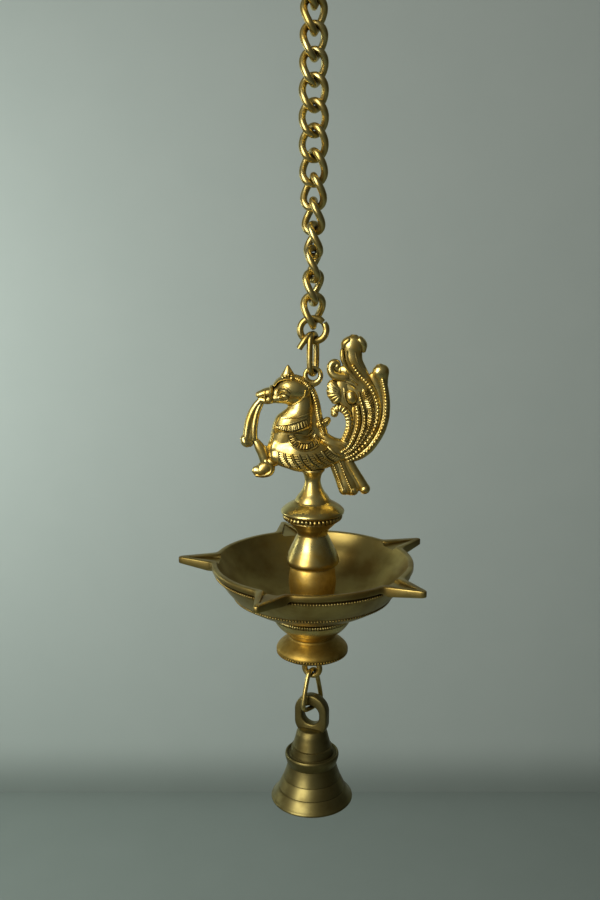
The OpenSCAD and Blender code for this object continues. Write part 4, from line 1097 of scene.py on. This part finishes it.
# %% Foot and figure
TOES = [[(9.4, 16.4, 2.3), (11.7, 10.2, 2.3), (13.6, 5, 2.4)],
        [(12.2, 17.4, 2.2), (15.2, 9.8, 2.2), (17.4, 4.7, 2.4)],
        [(15.2, 18, 1.8), (19.4, 10.8, 2.0), (22.4, 5.6, 2.2)]]
foot_strips = [strip(toe, 4.6) for toe in TOES]
TOE_TIPS = ((13.7, 4.7), (17.6, 4.5), (22.6, 5.1))
foot_strips += [button(x, z, radius=2.4, thick=5.4) for x, z in TOE_TIPS]
foot_strips.append(strip([(11.2, 17, 3.4), (13.8, 10.6, 3.9), (15.8, 6.2, 4.2)], 5.0))
foot_strips.append(strip([(13.6, 17, 2.6), (18.2, 9.4, 2.8), (20, 6.6, 2.8)], 3.4))
figure = join([body, pedestal] + head_strips + scroll_strips + tail_strips + foot_strips)
finish(figure, "cast_peacock", "lamp", "figure_brass", ["peacock"], crease=60)

# %% [markdown]
# Now the ornament. Fine ridges and beads lie on the figure's flanks, so a helper looks for the surface:
# it sends a ray at the figure from the side and takes the place where it hits. Another helper draws a
# smooth line through a few knots and gives points along it.

# %% Find the flanks
# How far out a ray starts, in mm
RAY_START = 30


def flank(x, z, side):
    """The point of the figure's surface at (x, height), seen from one side, or None."""
    start = Vector((x, side * RAY_START, FIGURE_Z + z)) * MM
    hit, place, _, _ = figure.ray_cast(start, Vector((0, -side, 0)))
    return place if hit else None


def through(knots, count):
    """Points spaced evenly in share along a smooth line through knots of (x, height)."""
    points = []
    for i in range(count):
        at = i / (count - 1) * (len(knots) - 1)
        k = min(int(at), len(knots) - 2)
        t = at - k
        a, b, c, d = (Vector(knots[min(max(j, 0), len(knots) - 1)][:2]) for j in range(k - 1, k + 3))
        points.append((2 * b + t * (c - a) + t * t * (2 * a - 5 * b + 4 * c - d)
                       + t ** 3 * (3 * b - a - 3 * c + d)) / 2)
    return points


print("the breast is", round(2 * abs(flank(-10, 24, 1).y) / MM, 1), "mm thick")

# %% [markdown]
# A ridge is a thin rod through places on the flank, sunk by almost half, and all the ridges of one kind
# are splines of one curve, which is much quicker than a curve for each. A bead is a small sphere of few
# faces, made once and copied to each place, and both flanks get the same.

# %% Lay ridges and beads on the flanks
# How far a ridge's middle stands out of the surface, in mm
RAISED = 0.15


def ridges(lines, half):
    """Thin raised lines on both flanks; each line is a list of (x, height) points in mm."""
    bpy.ops.object.select_all(action="DESELECT")
    bpy.ops.curve.primitive_bezier_curve_add(location=(0, 0, 0))
    curve = bpy.context.object
    curve.data.splines.clear()
    for side in (-1, 1):
        for line in lines:
            places = [flank(x, z, side) for x, z in line]
            places = [place for place in places if place is not None]
            if len(places) < 2:
                continue
            spline = curve.data.splines.new("POLY")
            spline.points.add(len(places) - 1)
            for knot, place in zip(spline.points, places):
                knot.co = (place.x, place.y + side * RAISED * MM, place.z, 1)
    curve.data.bevel_depth = half * MM
    curve.data.bevel_resolution = 1
    curve.data.use_fill_caps = True
    bpy.ops.object.convert(target="MESH")
    return bpy.context.object


def beads(places, half):
    """Small beads at places in metres; half is the half width in mm."""
    bpy.ops.object.select_all(action="DESELECT")
    bpy.ops.mesh.primitive_uv_sphere_add(segments=8, ring_count=6, radius=half * MM)
    first = bpy.context.object
    copies = []
    for place in places:
        bead = first.copy()
        bead.data = first.data.copy()
        bead.location = place
        bpy.context.scene.collection.objects.link(bead)
        copies.append(bead)
    bpy.data.objects.remove(first)
    row = join(copies)
    bpy.ops.object.transform_apply(location=True, rotation=True, scale=True)
    return row


def flank_beads(line, count, half):
    """Beads along a line of (x, height) on both flanks."""
    places = [flank(x, z, side) for x, z in through(line, count) for side in (-1, 1)]
    return beads([place for place in places if place is not None], half)


print("ridges stand out by", RAISED, "mm more than half of their thickness")

# %% [markdown]
# Each eye is two stacked lids, thick arcs with a fine line above and below, and a few beads sit on the
# crest. The neck wears three necklace lines with short strokes between the lower two, and a crescent
# with strokes like a fringe hangs on the shoulder. A stroke starts and ends a little short of the lines
# that it joins.

# %% Eyes, necklace and crescent
lids = [through([(-15.0, 47.0), (-13.9, 48.5), (-12.6, 49.1), (-11.2, 48.8), (-10.0, 47.4)], 12),
        through([(-14.5, 45.6), (-13.5, 46.6), (-12.4, 46.9), (-11.3, 46.6), (-10.4, 45.6)], 12)]
lid_lines = [through([(-15.5, 48), (-14.2, 49.8), (-12.6, 50.4), (-10.9, 50.1), (-9.4, 48.4)], 12),
             through([(-13.6, 44.8), (-12.2, 44.4), (-10.6, 44.8)], 8)]
cheek = [[(-3.0, 49.2), (-3.6, 46.6), (-5.6, 44.2), (-8.5, 42.6)]]
NECKLACE = [(-15.6, 34.0), (-11.3, 34.5), (-7.4, 35.4), (-2.6, 37.2)]
necklace = [through(NECKLACE, 14), through([(-13.4, 36.9), (-9.5, 37.4), (-5.8, 37.6), (-1.4, 39)], 12)]
strokes = []
for above, below in zip(through(NECKLACE, 17)[1:-1], through(COLLAR, 17)[1:-1]):
    strokes.append([above.lerp(below, 0.22), above.lerp(below, 0.5), above.lerp(below, 0.78)])
CRESCENT = [(-10.9, 30), (-9.5, 26.4), (-6.2, 24.1), (-2, 23.7), (1.7, 25), (3.0, 27.6)]
crescent_inner = [(-8.3, 30), (-7.1, 27.9), (-4.8, 26.7), (-2, 26.5), (0.3, 27.9), (1, 29.8)]
crescent_top = [(-7.8, 30.6), (-5, 30.2), (-2.4, 29.2), (0.4, 31)]
crescent = [through(CRESCENT, 20), through(crescent_inner, 16), crescent_top]
for outer_point, inner_point in zip(through(CRESCENT, 17)[1:-1], through(crescent_inner, 17)[1:-1]):
    strokes.append([outer_point.lerp(inner_point, 0.22), outer_point.lerp(inner_point, 0.8)])
crest_line = [(-12.7, 54.2), (-10.3, 55.2), (-8, 54.3)]
ornament = [ridges(lids, half=0.8), ridges(lid_lines, half=0.35), ridges(necklace + cheek, half=0.4)]
ornament += [ridges(crescent, half=0.5), ridges(strokes, half=0.52)]
ornament.append(flank_beads(crest_line, count=5, half=0.75))
print("ornament of the head and the neck:", len(strokes), "strokes a side")

# %% [markdown]
# The wing is a row of curved feathers on the lower body. Each border is a ridge, and short strokes fill
# the space between two borders. A stroke runs from a point of one border to its partner on the next, so
# the strokes follow the feathers' curve without being drawn one by one.

# %% Wing feathers
WING = [[(-14.9, 22.6), (-14.6, 19.5), (-12.8, 16.6)], [(-12.1, 22.2), (-11.2, 18.8), (-9.2, 15.9)],
        [(-9, 22.1), (-7.6, 18.3), (-5.2, 15.2)], [(-6.2, 22.1), (-4.4, 18.3), (-1.1, 14.9)],
        [(-3, 22), (-0.9, 18.5), (2.4, 15.6)], [(0.3, 22.2), (2.5, 19.2), (5.6, 16.6)],
        [(3.6, 23.2), (5.8, 19.9), (8.8, 17.8)], [(6.4, 24.6), (9, 22), (12.3, 19.9)]]
borders = [through(feather, 9) for feather in WING]
barbs = []
for one, two in zip(WING, WING[1:]):
    for p, q in list(zip(through(one, 9), through(two, 9)))[1:]:
        barbs.append([p.lerp(q, 0.25), p.lerp(q, 0.5), p.lerp(q, 0.75)])
ornament += [ridges(borders, half=0.6), ridges(barbs, half=0.45)]
print("wing", len(barbs), "barbs a side")

# %% [markdown]
# Each long tail feather carries a row of beads along its middle, and so do the ridge on the neck, the
# spur and two of the toes. The broad feather has fine barbs to both sides of its beads as well.

# %% Beads and barbs
FEATHER_BEADS = ((30, 0.9), (34, 0.9), (26, 0.5), (22, 0.8), (18, 0.9))
SPUR = [(3, 34.4), (5, 34.8), (6.2, 35.6)]
# Where a barb starts and ends beside the middle line, and how far its end leans forward
BARB_START, BARB_END, BARB_LEAN = 0.3, 1.5, 0.5
TOE_SHIFT = -0.5
for feather, (count, half) in zip(FEATHERS, FEATHER_BEADS):
    ornament.append(flank_beads(feather, count, half))
broad_line = through(FEATHERS[2], 34)
broad = []
for here, ahead in zip(broad_line, broad_line[1:]):
    along = (ahead - here).normalized()
    aside = Vector((-along.y, along.x))
    for side in (-1, 1):
        broad.append([here + side * aside * BARB_START, here + side * aside * BARB_END + along * BARB_LEAN])
ornament.append(ridges(broad, half=0.32))
ornament.append(flank_beads(RIDGE, count=34, half=0.95))
ornament.append(flank_beads(SPUR, count=4, half=0.8))
for toe in TOES[:2]:
    ornament.append(flank_beads([(x + TOE_SHIFT, z) for x, z, _ in toe], count=15, half=0.6))
print("tail", len(broad), "barbs a side")

# %% [markdown]
# The last lines are ribs: they fan out over the round leaf, cross the curl from edge to edge, follow
# the small leaves and run down the broad cap. All the ornament is then joined into one piece that rides
# with the lamp.

# %% Leaf lines and ribs
leaf = [[(13.4, 53.4), (16.2, 52.6), (18.8, 50.8)], [(13.6, 51.6), (16.2, 50.8), (18.4, 49.0)],
        [(19.4, 48), (19.9, 45.6), (19.4, 43.4)], [(13, 49.6), (13.2, 46.4), (14.2, 43.4), (16.2, 41.6)]]
FAN_PIVOT = Vector((12.6, 47.2))
FAN_ENDS = ((7.4, 52.2), (6.1, 50.4), (5.8, 48.2), (6.2, 46.2), (7.2, 44.4), (8.8, 42.9))
fan = [[FAN_PIVOT.lerp(Vector(end), share) for share in (0.3, 0.55, 0.78, 0.97)] for end in FAN_ENDS]
RIB_HALF = 1.35
curl_line = through(CURL, 17)
ribs = []
for here, ahead in zip(curl_line, curl_line[1:]):
    across = Vector((here.y - ahead.y, ahead.x - here.x)).normalized() * RIB_HALF
    ribs.append([here - across, here, here + across])
cap_lines = [[(14.4, 65.6), (14.6, 62), (16.4, 58.4), (19, 55.4)], [(17.6, 65), (18.4, 61.4), (20.2, 57.8)]]
ornament.append(ridges([through(line, 9) for line in leaf], half=0.5))
ornament += [ridges(fan, half=0.5), ridges(ribs, half=0.42)]
ornament.append(ridges([through(line, 9) for line in cap_lines], half=0.35))
finish(join(ornament), "peacock_ornament", "lamp", "figure_brass", crease=60)

# %% [markdown]
# A steel rod runs through the pedestal, the stem, the bowl, the cup and the knob and draws them
# together. It is hidden, so it stays the CAD's own solid and only gets its steel.

# %% Tie rod
rod_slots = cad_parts["tie_rod"].data.materials
rod_slots.clear()
rod_slots.append(steel)
print("tie rod in", steel.name)

# %% [markdown]
# The lamp hangs before a plain grey-green wall, more than a metre back so that the lamp can be seen
# from behind as well. Wall and floor are one plane whose far edge is extruded upwards. The photograph
# has no sharp line where the wall meets the darker floor, so the wall's paint fades into the floor's at
# its foot.

# %% Wall and floor
# The room is measured in metres
WALL_DISTANCE = 1.1
WALL_TOP = 1.2
FLOOR_Z = -1.066
FLOOR_FRONT = -2.4
BACKDROP_WIDTH = 5.0
FADE_HEIGHT = 0.1
# The roller's mottle is drawn coarser than on a real wall, so that it shows, in mm
ROLLER_MOTTLE = 70
bpy.ops.object.select_all(action="DESELECT")
bpy.ops.mesh.primitive_plane_add(size=1, location=(0, (FLOOR_FRONT + WALL_DISTANCE) / 2, FLOOR_Z))
backdrop = bpy.context.object
backdrop.scale = (BACKDROP_WIDTH, WALL_DISTANCE - FLOOR_FRONT, 1)
bpy.ops.object.transform_apply(location=True, rotation=True, scale=True)
select_vertices(backdrop, lambda vertex: vertex.co.y > 0)
bpy.ops.mesh.extrude_region_move(TRANSFORM_OT_translate={"value": (0, 0, WALL_TOP - FLOOR_Z)})
bpy.ops.object.mode_set(mode="OBJECT")
backdrop.name = "backdrop"

# Matt wall paint, slightly mottled by the roller, without any gloss
paint, paint_tree = new_material("matt backdrop paint")
place = add_node(paint_tree, "TexCoord").outputs["Object"]
patches = add_node(paint_tree, "TexNoise", Vector=place, Scale=per_mm(ROLLER_MOTTLE), Detail=3.0)
wall_colour = add_node(paint_tree, "Mix", {"data_type": "RGBA"}, Factor=patches.outputs["Fac"],
                       _6=linear("#cdd8d4"), _7=linear("#d2dcd8"))
floor_colour = add_node(paint_tree, "Mix", {"data_type": "RGBA"}, Factor=patches.outputs["Fac"],
                        _6=linear("#9ba6a1"), _7=linear("#a1aca7"))
height = add_node(paint_tree, "SeparateXYZ", Vector=place).outputs["Z"]
rise = add_node(paint_tree, "MapRange", {"interpolation_type": "SMOOTHSTEP"}, Value=height,
                From_Min=FLOOR_Z, From_Max=FLOOR_Z + FADE_HEIGHT)
faded = add_node(paint_tree, "Mix", {"data_type": "RGBA"}, Factor=rise.outputs[0],
                 _6=floor_colour.outputs[2], _7=wall_colour.outputs[2])
matt = add_node(paint_tree, "BsdfPrincipled", Base_Color=faded.outputs[2], Roughness=0.9)
add_node(paint_tree, "OutputMaterial", Surface=matt.outputs[0])
backdrop.data.materials.clear()
backdrop.data.materials.append(paint)
print("wall at", WALL_DISTANCE, "m, floor at", FLOOR_Z, "m")

# %% [markdown]
# The photograph was lit by a window at the left. A soft light stands to the left of the camera and
# above it, a second one brightens the wall, and the world fades from left to right, so that the brass
# has a bright and a dark side.


# %% Light
def soft_light(name, place, aim, size, watts, colour):
    """An area light of (width, height) at a place, turned towards an aim, in metres."""
    data = bpy.data.lights.new(name, "AREA")
    data.shape = "RECTANGLE"
    data.size, data.size_y = size
    data.energy = watts
    data.color = linear(colour)[:3]
    light = bpy.data.objects.new(name, data)
    light.location = place
    light.rotation_euler = (Vector(aim) - Vector(place)).to_track_quat("-Z", "Y").to_euler()
    light.visible_camera = False
    bpy.context.scene.collection.objects.link(light)


middle_of_lamp = (0, 0, rim_z * MM)
soft_light("window light", place=(-0.5, -0.62, rim_z * MM + 0.36), aim=middle_of_lamp,
           size=(0.45, 0.9), watts=8, colour="#fffaf0")
soft_light("wall light", place=(-0.97, 0.43, -0.25), aim=(-0.47, WALL_DISTANCE, -0.36),
           size=(0.45, 0.45), watts=4.2, colour="#f6fff8")
world = bpy.data.worlds.new("room")
world.use_nodes = True
world.node_tree.nodes.clear()
sky = add_node(world.node_tree, "TexCoord").outputs["Generated"]
TOWARD_WINDOW = (-0.8, -0.4, 0.45)
facing = add_node(world.node_tree, "VectorMath", {"operation": "DOT_PRODUCT"}, _0=sky, _1=TOWARD_WINDOW)
level = add_node(world.node_tree, "MapRange", Value=facing.outputs["Value"], From_Min=-0.8, From_Max=1.0,
                 To_Min=0.03, To_Max=0.18)
room = add_node(world.node_tree, "Background", Color=linear("#eef2ec"), Strength=level.outputs[0])
add_node(world.node_tree, "OutputWorld", Surface=room.outputs[0])
bpy.context.scene.world = world
print("lights:", ", ".join(light.name for light in bpy.data.lights))
